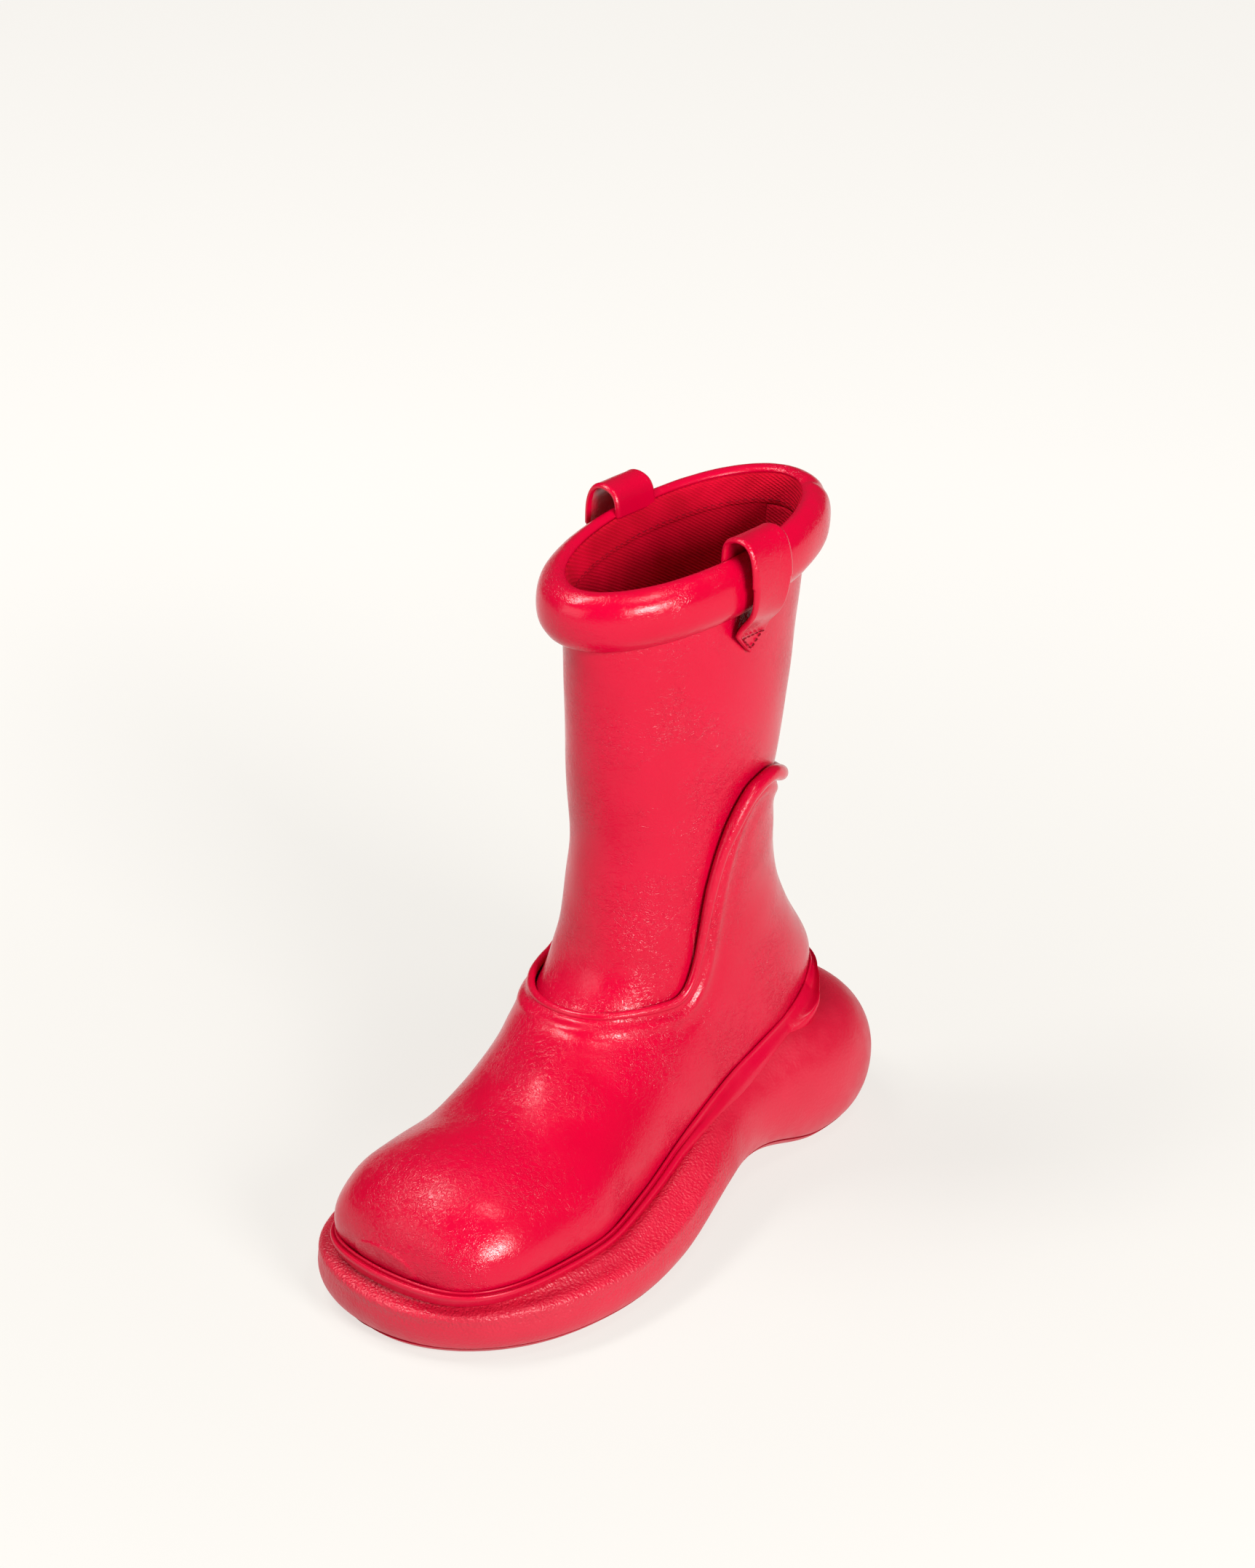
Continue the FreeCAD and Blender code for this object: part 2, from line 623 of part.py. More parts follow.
# ---------------------------------------------------------------- placement and export
origin = FreeCAD.Vector(size["origin_x"], size["origin_y"], size["floor_level"])
for item in parts:
    place = item.Placement.Base - origin
    item.Placement = FreeCAD.Placement(place, FreeCAD.Rotation())
doc.recompute()

for item in doc.Objects:
    if "Invalid" in item.State or "Error" in item.State:
        raise RuntimeError("%s failed: %s" % (item.Label, item.State))
for item in parts:
    if item.Shape.isNull() or not item.Shape.isValid():
        raise RuntimeError("%s has no valid shape" % item.Label)

os.makedirs("parts", exist_ok=True)
for item in parts:
    item.Shape.exportStep("parts/%s.step" % item.Label)
    print("%-24s %2d solids %9.1f mm3" % (item.Label, len(item.Shape.Solids),
                                          item.Shape.Volume))
whole = Part.Compound([item.Shape for item in parts]).BoundBox
print("box", [round(v, 2) for v in (whole.XMin, whole.YMin, whole.ZMin,
                                    whole.XMax, whole.YMax, whole.ZMax)])
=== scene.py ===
import math

import bmesh
import bpy
import numpy as np
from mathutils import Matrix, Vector
from mathutils.bvhtree import BVHTree
from mathutils.kdtree import KDTree


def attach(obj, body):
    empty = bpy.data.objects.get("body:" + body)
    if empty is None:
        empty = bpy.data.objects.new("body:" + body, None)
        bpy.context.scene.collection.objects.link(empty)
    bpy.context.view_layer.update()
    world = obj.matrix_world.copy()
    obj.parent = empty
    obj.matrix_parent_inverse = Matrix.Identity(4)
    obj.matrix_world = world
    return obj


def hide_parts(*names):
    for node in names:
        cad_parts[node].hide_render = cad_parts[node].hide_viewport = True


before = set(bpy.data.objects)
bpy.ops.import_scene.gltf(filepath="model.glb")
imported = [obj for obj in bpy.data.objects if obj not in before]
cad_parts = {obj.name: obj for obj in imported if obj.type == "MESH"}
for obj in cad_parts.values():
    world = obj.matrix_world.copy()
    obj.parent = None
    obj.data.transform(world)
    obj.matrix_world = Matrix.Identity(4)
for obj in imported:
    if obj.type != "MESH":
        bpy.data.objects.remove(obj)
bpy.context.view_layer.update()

# Glossy pull-on rain boot. Lengths are millimetres in the build frame (+Z up, toe towards
# -Y, inner side towards +X); put() turns them into metres in the row frame.

ORIGIN = np.array([16.55, -10.34, 2.0])      # the row's origin in the build frame

# ---------------- the boot's form
# Stations of the upper, from the toe to the collar: share of the way, y and z of the sole
# side, y and z of the top side, half width, share of the section where it is widest,
# squareness of the sole side and of the top side, x of the middle
STATIONS = [
    (0.00, -151, 34, -153, 42, 14.0, .40, 2.0, 2.0, 17),
    (0.03, -148, 30, -150, 52, 29.0, .36, 2.5, 2.0, 17),
    (0.08, -138, 28, -142, 61, 39.5, .34, 2.8, 2.0, 18),
    (0.14, -118, 28, -123, 69, 45.5, .32, 3.0, 2.0, 19),
    (0.22, -82, 28, -95, 72, 47.0, .33, 3.2, 2.0, 19),
    (0.30, -45, 30, -68, 78, 45.0, .34, 3.4, 2.0, 13),
    (0.38, 0, 37, -48, 86.5, 42.0, .34, 3.4, 2.1, 5),
    (0.46, 53, 49, -33.5, 93.5, 40.5, .38, 3.0, 2.4, -1),
    (0.53, 99, 57, -23, 102, 39.5, .46, 2.6, 2.5, -3),
    (0.59, 116, 80, -17, 112, 38.0, .50, 2.2, 2.5, -3),
    (0.65, 100.5, 110, -13.5, 125, 36.0, .50, 2.0, 2.3, -2),
    (0.71, 91.5, 134, -12, 140, 35.5, .50, 2.0, 2.1, -2),
    (0.78, 89, 160, -10, 163, 34.8, .50, 2.0, 2.0, -1),
    (0.85, 97.5, 190, -13, 192, 35.5, .50, 2.0, 2.0, -1),
    (0.92, 105.5, 228, -16, 230, 35.2, .50, 2.0, 2.0, 0),
    (1.00, 115, 284, -18.8, 284, 34.2, .50, 2.0, 2.0, 0),
    (1.03, 115, 302, -18.8, 302, 34.2, .50, 2.0, 2.0, 0),
]
# Outline of the sole from above: x, y
OUTLINE = [
    (12, -164), (50, -154), (76, -122), (84, -80), (79, -38), (64, 8),
    (53, 44), (56, 85), (47, 122), (17, 142), (-20, 139), (-45, 114),
    (-50, 75), (-48, 30), (-49, -10), (-50, -60), (-47, -110), (-28, -150),
]
# Along the sole: y, widest level, top level, bottom level, top inset, bottom inset
SOLE = [
    (-164, 16, 30, 1, 14, 15),
    (-80, 16, 30, 1, 14, 15),
    (-38, 19, 34, 4, 14, 14),
    (8, 27, 44, 12.5, 14, 13),
    (44, 30, 54, 10.5, 16, 14),
    (85, 31, 60, 1, 20, 18),
    (141, 31, 60, 1, 24, 19),
]
OUTSOLE_WALL = 5.5
# Upper edge of the overshoe layer: y, height
EDGE = [
    (-60, 98), (5, 98), (12, 102), (17, 111), (21, 125), (26, 145), (32, 162),
    (41, 176.5), (51, 184.5), (62, 186), (75, 181), (88, 173), (102, 168), (130, 168),
]
# Radius of the stuffed roll as it shows, thinner where it is pulled tight: height, mm
ROLL_LOOK = [(90, 1.9), (104, 1.9), (135, 2.3), (160, 2.7), (174, 3.4), (200, 3.5)]
# Welt height above the midsole, along the sole: y, height
WELT_RISE = [(-164, 4.5), (-38, 4.5), (20, 5.2), (50, 5.6), (76, 6.0), (92, 8.5), (108, 13.5), (122, 15.5)]
TOE_FADE = 0.20          # share of the way over which the form also grows forwards
GAP = 0.3                # from the shaft to the overshoe layer
GALOSH_INNER, GALOSH_OUTER, ROLL_RADIUS = GAP, 3.2, 3.7
COLLAR_ACROSS, COLLAR_LONG, COLLAR_Y, COLLAR_LEVEL = 33.0, 67.5, 48.0, 281.0
COLLAR_TILT = math.radians(5.0)
TOP_RISE, FACING_DROP = 10.8, 13.0
STRAP_PLACE, STRAP_WIDTH = {1: 46.0, -1: 52.5}, 24.0     # y of each strap, by side
# Where share_where() looks for the overshoe's edge, and for the lines near the collar
EDGE_RANGE, TOP_RANGE = (0.30, 0.99), (0.90, 1.03)


def hermite(a, b, leave, arrive, s):
    """Between a and b at s from 0 to 1, with the given slopes at both ends."""
    return (a * (1 + 2 * s) * (1 - s) ** 2 + leave * s * (1 - s) ** 2
            + b * s * s * (3 - 2 * s) + arrive * s * s * (s - 1))


def blend(rows, at, column):
    """Smooth values of one column of a table, without overshoot between its rows."""
    table = np.array(rows, float)
    x, y = table[:, 0], table[:, column]
    slope = np.diff(y) / np.diff(x)
    tangent = np.concatenate([slope[:1], np.zeros(len(x) - 2), slope[-1:]])
    product = slope[:-1] * slope[1:]
    tangent[1:-1] = np.where(product > 0, 2 * product / np.where(product > 0, slope[:-1] + slope[1:], 1), 0)
    at = np.clip(np.asarray(at, float), x[0], x[-1])
    i = np.clip(np.searchsorted(x, at, side="right") - 1, 0, len(x) - 2)
    width = x[i + 1] - x[i]
    s = (at - x[i]) / width
    return hermite(y[i], y[i + 1], tangent[i] * width, tangent[i + 1] * width, s)


def smoothed(values, width):
    """A sampled curve, averaged over a bell-shaped window. Its ends stay where they are."""
    reach = int(3 * width)
    bell = np.exp(-0.5 * (np.arange(-reach, reach + 1) / width) ** 2)
    head = 2 * values[0] - values[reach:0:-1]
    tail = 2 * values[-1] - values[-2:-reach - 2:-1]
    return np.convolve(np.concatenate([head, values, tail]), bell / bell.sum(), "valid")


LAP = 120        # points that loop_smoothed() repeats past both ends of a closed path


def loop_smoothed(values, width):
    """smoothed() for values round a closed path."""
    looped = np.concatenate([values[-LAP:], values, values[:LAP]])
    return np.apply_along_axis(smoothed, 0, looped, width)[LAP:-LAP]


def round_turn(count):
    """Angles of even steps round a circle."""
    return np.arange(count) * 2 * math.pi / count


def unit(vectors):
    return vectors / np.linalg.norm(vectors, axis=-1, keepdims=True)


def run_along(points):
    """Distance along a path at each of its points."""
    return np.concatenate([[0], np.cumsum(np.linalg.norm(np.diff(points, axis=0), axis=1))])


def placed(at, run, points):
    """Points of a path at the distances at."""
    return np.stack([np.interp(at, run, column) for column in points.T], axis=-1)


FINE, FORM_SOFTNESS = 3000, 26
fine_share = np.linspace(STATIONS[0][0], STATIONS[-1][0], FINE)
fine_columns = [smoothed(blend(STATIONS, fine_share, c), FORM_SOFTNESS) for c in range(1, 10)]


def rounded(value, squareness):
    """A sine or cosine, bent so that a circle turns into a rounded square."""
    return np.copysign(np.abs(value) ** (2.0 / squareness), value)


def form(share, angle, grow=0.0):
    """Points of the upper's surface, moved outwards by grow. Angle 0 is the top side."""
    (sole_y, sole_z, top_y, top_z, half, widest, square_sole, square_top, middle) = [
        np.interp(share, fine_share, column) for column in fine_columns]
    length = np.hypot(top_y - sole_y, top_z - sole_z)
    along_y, along_z = (top_y - sole_y) / length, (top_z - sole_z) / length
    cosine, sine = np.cos(angle), np.sin(angle)
    top_side = cosine >= 0
    squareness = np.where(top_side, square_top, square_sole)
    reach = np.where(top_side, 1 - widest, widest) * length + grow
    along = widest * length + rounded(cosine, squareness) * reach
    across = rounded(sine, squareness) * (half + grow)
    forwards = grow * np.maximum(0.0, 1 - share / TOE_FADE) ** 2
    return np.stack(np.broadcast_arrays(middle + across, sole_y + along_y * along - forwards,
                                        sole_z + along_z * along), axis=-1)


def share_where(angle, level, grow, limits):
    """Share between two limits at which each angle's line up the form reaches level(y)."""
    low, high = [np.full(angle.shape, limit) for limit in limits]
    for _halving in range(34):
        middle = (low + high) / 2
        point = form(middle, angle, grow)
        under = point[..., 2] < level(point[..., 1])
        low, high = np.where(under, middle, low), np.where(under, high, middle)
    return high


def ripple(points, size, seed, count=9):
    """Smooth made-up unevenness between about -1 and 1, with features of a given size."""
    chance = np.random.default_rng(seed)
    total = np.zeros(points.shape[:-1])
    for _wave in range(count):
        way = chance.normal(size=3)
        way *= 2 * math.pi / (size * chance.uniform(0.75, 1.5) * np.linalg.norm(way))
        total = total + np.sin(points @ way + chance.uniform(0, 2 * math.pi))
    return total / math.sqrt(count)


def bump(points, centre, radii):
    """A soft rise at centre, 1 at its middle, radii in x, y and z."""
    return np.exp(-(((points - np.array(centre)) / np.array(radii)) ** 2).sum(-1))


# ---------------- mesh building
def put(points):
    """Points of the build frame in millimetres, in the row frame in metres."""
    return (np.asarray(points, float) - ORIGIN) / 1000.0


def add_mesh(name, points, faces, finish):
    """A new piece from points in the build frame."""
    mesh = bpy.data.meshes.new(name)
    mesh.from_pydata([tuple(p) for p in put(points)], [], faces)
    mesh.materials.append(finish)
    mesh.polygons.foreach_set("use_smooth", [True] * len(mesh.polygons))
    item = bpy.data.objects.new(name, mesh)
    bpy.context.scene.collection.objects.link(item)
    shape = bmesh.new()
    shape.from_mesh(mesh)
    bmesh.ops.recalc_face_normals(shape, faces=shape.faces)
    shape.to_mesh(mesh)
    shape.free()
    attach(item, "root")
    return item


def grid_faces(rows, columns, first=0, wrap=True):
    """Quads of a grid of points, closed round its columns."""
    faces = []
    for r in range(rows - 1):
        a, b = first + r * columns, first + (r + 1) * columns
        for c in range(columns if wrap else columns - 1):
            d = (c + 1) % columns
            faces.append((a + c, a + d, b + d, b + c))
    return faces


def slab_faces(rows, columns):
    """Faces of a slab from two open grids of points, one after the other."""
    count = rows * columns
    faces = grid_faces(rows, columns, 0, False)
    faces += [f[::-1] for f in grid_faces(rows, columns, count, False)]
    for r in range(rows - 1):
        for c in (0, columns - 1):
            i, j = r * columns + c, (r + 1) * columns + c
            faces.append((i, j, j + count, i + count))
    for r in (0, rows - 1):
        for c in range(columns - 1):
            i = r * columns + c
            faces.append((i, i + 1, i + 1 + count, i + count))
    return faces


def shell(name, outer, inner, finish, tip=False, hole=None):
    """A sheet with thickness from two grids. tip closes the first row; hole(points) says
    which cells are left out, and their edges are rimmed."""
    rows, columns = outer.shape[:2]
    count = rows * columns
    points = np.concatenate([outer.reshape(-1, 3), inner.reshape(-1, 3)])
    gone = np.zeros((rows - 1, columns), bool)
    if hole is not None:
        gone = hole((outer[:-1] + outer[1:]) / 2)
    faces = []

    def index(r, c, side):
        return side * count + r * columns + c % columns

    for r, c in [(r, c) for r in range(rows - 1) for c in range(columns)]:
        if gone[r, c]:
            continue
        quad = [index(r, c, 0), index(r, c + 1, 0), index(r + 1, c + 1, 0), index(r + 1, c, 0)]
        faces.append(quad)
        faces.append([corner + count for corner in quad[::-1]])
        # its four sides, each with the step to the cell beyond it
        for (down, right), (first, last) in (((0, -1), ((r, c), (r + 1, c))),
                                             ((0, 1), ((r, c + 1), (r + 1, c + 1))),
                                             ((-1, 0), ((r, c), (r, c + 1))),
                                             ((1, 0), ((r + 1, c), (r + 1, c + 1)))):
            if 0 <= r + down < rows - 1 and gone[r + down, (c + right) % columns]:
                faces.append([index(*first, 0), index(*last, 0), index(*last, 1), index(*first, 1)])
    for r in ([rows - 1] if tip else [0, rows - 1]):
        for c in range(columns):
            faces.append([index(r, c, 0), index(r, c + 1, 0), index(r, c + 1, 1), index(r, c, 1)])
    if tip:
        for side in (0, 1):
            middle = len(points)
            ring = points[index(0, 0, side):index(0, 0, side) + columns]
            points = np.concatenate([points, ring.mean(0)[None]])
            for c in range(columns):
                faces.append([index(0, c, side), index(0, c + 1, side), middle])
    return add_mesh(name, points, faces, finish)


def tube(name, sections, finish):
    """A closed tube from a grid of sections, closed both ways."""
    rows, columns = sections.shape[:2]
    looped = [tuple(i % (rows * columns) for i in face) for face in grid_faces(rows + 1, columns)]
    return add_mesh(name, sections.reshape(-1, 3), looped, finish)


def closed_spline(points, count):
    """Evenly numbered points of a smooth closed curve through the given ones."""
    points = np.array(points, float)
    n = len(points)
    system = np.zeros((n, n))
    for k in range(n):
        system[k, k], system[k, k - 1], system[k, (k + 1) % n] = 4, 1, 1
    tangent = np.linalg.solve(system, 3 * (np.roll(points, -1, 0) - np.roll(points, 1, 0)))
    at = np.arange(count) * n / count
    i = at.astype(int)
    s = (at - i)[:, None]
    return hermite(points[i], points[(i + 1) % n], tangent[i], tangent[(i + 1) % n], s)


def frames_along(points):
    """Outwards and up vectors along a closed path."""
    ahead = np.roll(points, -1, 0) - np.roll(points, 1, 0)
    outwards = unit(np.cross(ahead, [0, 0, 1.0]))
    outwards *= np.sign(((points - points.mean(0)) * outwards).sum(1).mean())
    up = unit(np.cross(outwards, ahead))
    up *= np.sign(up[:, 2])[:, None]
    return outwards, up


def even_path(points, count):
    """The same closed path, with its points evenly spaced."""
    looped = np.concatenate([points, points[:1]])
    run = run_along(looped)
    return placed(np.linspace(0, run[-1], count + 1)[:-1], run, looped)


# ---------------- materials
def new_material(name, rough, metallic=0.0, specular=0.5):
    material = bpy.data.materials.new(name)
    material.use_nodes = True
    tree = material.node_tree
    shader = tree.nodes["Principled BSDF"]
    shader.inputs["Roughness"].default_value = rough
    shader.inputs["Metallic"].default_value = metallic
    shader.inputs["Specular IOR Level"].default_value = specular
    where = tree.nodes.new("ShaderNodeTexCoord").outputs["Object"]
    return material, tree, shader, where


def colour_mix(tree, factor, dark, light):
    mix = tree.nodes.new("ShaderNodeMix")
    mix.data_type = "RGBA"
    mix.inputs[6].default_value = (*dark, 1)
    mix.inputs[7].default_value = (*light, 1)
    tree.links.new(factor, mix.inputs[0])
    return mix.outputs[2]


def mapped(tree, value, low, high, to_low, to_high):
    node = tree.nodes.new("ShaderNodeMapRange")
    node.interpolation_type = "SMOOTHSTEP"
    for k, number in enumerate((low, high, to_low, to_high), start=1):
        node.inputs[k].default_value = number
    tree.links.new(value, node.inputs[0])
    return node.outputs[0]


def math_node(tree, operation, a, b):
    node = tree.nodes.new("ShaderNodeMath")
    node.operation = operation
    for k, value in enumerate((a, b)):
        if isinstance(value, (int, float)):
            node.inputs[k].default_value = value
        else:
            tree.links.new(value, node.inputs[k])
    return node.outputs[0]


def texture(tree, kind, where, **inputs):
    """A procedural texture node of a kind, read at where."""
    node = tree.nodes.new("ShaderNodeTex" + kind)
    for label, value in inputs.items():
        node.inputs[label.replace("_", " ")].default_value = value
    tree.links.new(where, node.inputs["Vector"])
    return node


def noise(tree, where, scale, detail, distortion=0.0):
    return texture(tree, "Noise", where, Scale=scale, Detail=detail, Distortion=distortion).outputs["Fac"]


def relief(tree, shader, height, distance):
    node = tree.nodes.new("ShaderNodeBump")
    node.inputs["Strength"].default_value = 1.0
    node.inputs["Distance"].default_value = distance
    tree.links.new(height, node.inputs["Height"])
    tree.links.new(node.outputs["Normal"], shader.inputs["Normal"])


def mottle(tree, shader, where, scale, detail, dark, light):
    """A base colour that drifts between two tones."""
    patches = mapped(tree, noise(tree, where, scale, detail), 0.3, 0.7, 0, 1)
    tree.links.new(colour_mix(tree, patches, dark, light), shader.inputs["Base Color"])


def uneven_gloss(tree, shader, where, scale, detail, upto, low, high):
    """Roughness that drifts between low and high."""
    drift = mapped(tree, noise(tree, where, scale, detail), 0.3, upto, low, high)
    tree.links.new(drift, shader.inputs["Roughness"])


def shifted(tree, where, by, amount):
    """Coordinates pushed about by a colour output, for wandering lines."""
    scale = tree.nodes.new("ShaderNodeVectorMath")
    scale.operation = "SCALE"
    scale.inputs["Scale"].default_value = amount
    tree.links.new(by, scale.inputs[0])
    add = tree.nodes.new("ShaderNodeVectorMath")
    add.operation = "ADD"
    tree.links.new(where, add.inputs[0])
    tree.links.new(scale.outputs[0], add.inputs[1])
    return add.outputs[0]


def stretched(tree, where, scale):
    node = tree.nodes.new("ShaderNodeMapping")
    node.inputs["Scale"].default_value = scale
    tree.links.new(where, node.inputs["Vector"])
    return node.outputs["Vector"]


RED, RED_DEEP = (0.53, 0.0, 0.028), (0.50, 0.0, 0.024)
FOAM_RED, FOAM_RED_DEEP = (0.54, 0.007, 0.034), (0.50, 0.004, 0.028)
# Depths in metres, and the two crossing sets of creases: scale, stretch
CREASE_DEPTH, GRAIN_DEPTH, TWILL_DEPTH, THREAD_PITCH = 0.00014, 0.00045, 0.00035, 0.0008
CREASE_SETS = ((430.0, (1.0, 0.75, 1.3)), (620.0, (0.8, 1.2, 1.0)))
# A wave texture repeats every 2 pi / 20 over its scale
WAVE_STEP = 0.31416


def coated_finish(name, crease=1.0, rough=0.20):
    """Glossy coated upper: a smooth film over a soft backing with fine creases."""
    material, tree, shader, where = new_material(name, rough, specular=0.30)
    mottle(tree, shader, where, 22.0, 2.0, RED_DEEP, RED)
    uneven_gloss(tree, shader, where, 60.0, 4.0, 0.75, rough * 0.85, rough * 1.35)
    # fine creases: wandering valleys that cross, only in patches
    bent = shifted(tree, where, texture(tree, "Noise", where, Scale=160.0).outputs["Color"], 0.006)
    valleys = []
    for scale, way in CREASE_SETS:
        field = noise(tree, stretched(tree, bent, way), scale, 2.0, 0.5)
        off = math_node(tree, "ABSOLUTE", math_node(tree, "SUBTRACT", field, 0.5), 0.0)
        valleys.append(mapped(tree, off, 0.0, 0.075, 0.0, 1.0))
    height = math_node(tree, "ADD", math_node(tree, "MULTIPLY", valleys[0], 0.6),
                       math_node(tree, "MULTIPLY", valleys[1], 0.4))
    patches = mapped(tree, noise(tree, where, 26.0, 2.0), 0.40, 0.62, 0.25, 1.0)
    relief(tree, shader, math_node(tree, "MULTIPLY", height, patches), CREASE_DEPTH * crease)
    return material


def foam_finish(name, grain=1.0, rough=0.40):
    """Moulded foam: satin, finely grained over the forefoot, smoother towards the heel."""
    material, tree, shader, where = new_material(name, rough, specular=0.5)
    mottle(tree, shader, where, 30.0, 3.0, FOAM_RED_DEEP, FOAM_RED)
    uneven_gloss(tree, shader, where, 120.0, 3.0, 0.7, rough - 0.05, rough + 0.07)
    split = tree.nodes.new("ShaderNodeSeparateXYZ")
    tree.links.new(where, split.inputs[0])
    front = mapped(tree, split.outputs["Y"], -0.005, 0.045, 1.0, 0.18)
    low = mapped(tree, split.outputs["Z"], 0.010, 0.022, 0.30, 1.0)
    pebbles = texture(tree, "Voronoi", where, Scale=900.0)
    pebbles.feature = "SMOOTH_F1"
    height = math_node(tree, "ADD", pebbles.outputs["Distance"], noise(tree, where, 700.0, 2.0))
    height = math_node(tree, "MULTIPLY", math_node(tree, "MULTIPLY", height, front), low)
    relief(tree, shader, height, GRAIN_DEPTH * grain)
    return material


def twill_finish(name, dark, light, pitch):
    """Woven twill: fine diagonal ribs crossed by thread, paler where it is worn."""
    material, tree, shader, where = new_material(name, 0.85, specular=0.10)
    ribs = texture(tree, "Wave", stretched(tree, where, (0.35, 0.6, 1.0)), Scale=WAVE_STEP / pitch,
                   Distortion=0.35, Detail=2.0, Detail_Scale=2.0)
    ribs.bands_direction = "DIAGONAL"
    threads = texture(tree, "Wave", where, Scale=WAVE_STEP / THREAD_PITCH, Distortion=1.5)
    threads.bands_direction = "Z"
    crossing = mapped(tree, threads.outputs["Fac"], 0, 1, 0.6, 1.0)
    weave = math_node(tree, "MULTIPLY", ribs.outputs["Fac"], crossing)
    worn = mapped(tree, noise(tree, where, 45.0, 4.0), 0.35, 0.7, 0.0, 0.45)
    factor = math_node(tree, "ADD", math_node(tree, "MULTIPLY", weave, 0.6), worn)
    tree.links.new(colour_mix(tree, factor, dark, light), shader.inputs["Base Color"])
    relief(tree, shader, weave, TWILL_DEPTH)
    return material


def plain_finish(name, dark, light, rough, depth=0.0001, metallic=0.0):
    """A finish for the parts inside: mottled colour and a fine grain."""
    material, tree, shader, where = new_material(name, rough, metallic=metallic)
    mottle(tree, shader, where, 54.0, 4.0, dark, light)
    relief(tree, shader, noise(tree, where, 900.0, 3.0), depth)
    return material


def thread_finish(name, colour):
    """Sewing thread, with its twist."""
    material, tree, shader, where = new_material(name, 0.7, specular=0.15)
    twist = texture(tree, "Wave", where, Scale=500.0)
    twist.bands_direction = "DIAGONAL"
    tree.links.new(colour_mix(tree, twist.outputs["Fac"], tuple(c * 0.7 for c in colour), colour),
                   shader.inputs["Base Color"])
    relief(tree, shader, twist.outputs["Fac"], 0.0001)
    return material


GLOSS = coated_finish("gloss_upper")
GLOSS_COLLAR = coated_finish("gloss_collar", crease=0.8, rough=0.18)
GLOSS_TRIM = coated_finish("gloss_trim", crease=0.5, rough=0.20)
WELT = coated_finish("gloss_welt", crease=0.2, rough=0.30)
FOAM = foam_finish("sole_foam")
RUBBER = foam_finish("sole_rubber", grain=0.5, rough=0.5)
TWILL = twill_finish("twill_lining", (0.36, 0.0, 0.010), (0.66, 0.0, 0.027), pitch=0.0008)
TWILL_BAND = twill_finish("twill_facing", (0.34, 0.0, 0.009), (0.62, 0.0, 0.025), pitch=0.0008)
THREAD = thread_finish("thread_red", (0.26, 0.0, 0.012))
SOCK = twill_finish("sock_textile", (0.28, 0.0, 0.008), (0.52, 0.0, 0.020), pitch=0.0014)
BOARD = plain_finish("fibre_board", (0.30, 0.20, 0.11), (0.45, 0.32, 0.19), 0.85)
STIFF = plain_finish("stiffener_sheet", (0.55, 0.50, 0.42), (0.68, 0.63, 0.55), 0.6)
HIDDEN_FOAM = plain_finish("white_foam", (0.70, 0.68, 0.62), (0.82, 0.80, 0.75), 0.9, depth=0.0004)
STEEL = plain_finish("shank_steel", (0.38, 0.38, 0.40), (0.52, 0.52, 0.54), 0.35,
                     depth=0.00003, metallic=1.0)

# ---------------- edge of the overshoe layer
COLUMNS = 320
angles = round_turn(COLUMNS)


def edge_level(y):
    return blend(EDGE, y, 1)


def top_line(y):
    """Upper edge of the shaft and the lining, inside the collar."""
    return COLLAR_LEVEL + TOP_RISE + math.tan(COLLAR_TILT) * (y - COLLAR_Y)


EDGE_ANGLES, EDGE_POINTS, ROLL_TURNS = 720, 600, 40
edge_angles = round_turn(EDGE_ANGLES)
edge_share = share_where(edge_angles, edge_level, GAP + ROLL_RADIUS, EDGE_RANGE)
edge_radius = blend(ROLL_LOOK, form(edge_share, edge_angles, GAP)[:, 2], 1)
edge_path = even_path(form(edge_share, edge_angles, GAP + edge_radius), EDGE_POINTS)
edge_path = loop_smoothed(edge_path, 4)       # its small kinks are rounded off

edge_tree = KDTree(len(edge_path))
for number, point in enumerate(edge_path):
    edge_tree.insert(point, number)
edge_tree.balance()


def edge_distance(points):
    """How far each point is from the edge's middle line."""
    flat = points.reshape(-1, 3)
    return np.array([edge_tree.find(p)[2] for p in flat]).reshape(points.shape[:-1])


# ---------------- overshoe layer
GALOSH_ROWS = 300
CAP_ROWS = 7


def toe_capped(share, angle, grow):
    """form(), with the first rows drawn in to close the toe."""
    points = form(share, angle, grow)
    first = points[CAP_ROWS].copy()
    middle = first.mean(0)
    for k in range(CAP_ROWS):
        turn = math.radians(86) * (1 - k / CAP_ROWS)
        points[k] = middle + (first - middle) * math.cos(turn) + np.array([0, -1.6, 0.2]) * math.sin(turn)
    return points


end = share_where(angles, edge_level, GAP + ROLL_RADIUS, EDGE_RANGE)
steps = np.concatenate([np.zeros(CAP_ROWS), np.linspace(0, 1, GALOSH_ROWS - CAP_ROWS)])
galosh_share = steps[:, None] * end[None, :]
galosh_angle = np.broadcast_to(angles, galosh_share.shape)
plain = form(galosh_share, galosh_angle, GALOSH_OUTER)
away = edge_distance(plain)
# behind the roll the layer dips, rises in a second soft fold and then runs flat
lip = (-0.5 * np.exp(-((away - 3.6) / 1.5) ** 2) + 0.75 * np.exp(-((away - 7.0) / 2.3) ** 2)
       - 0.35 * np.exp(-((away - 13.0) / 4.0) ** 2))
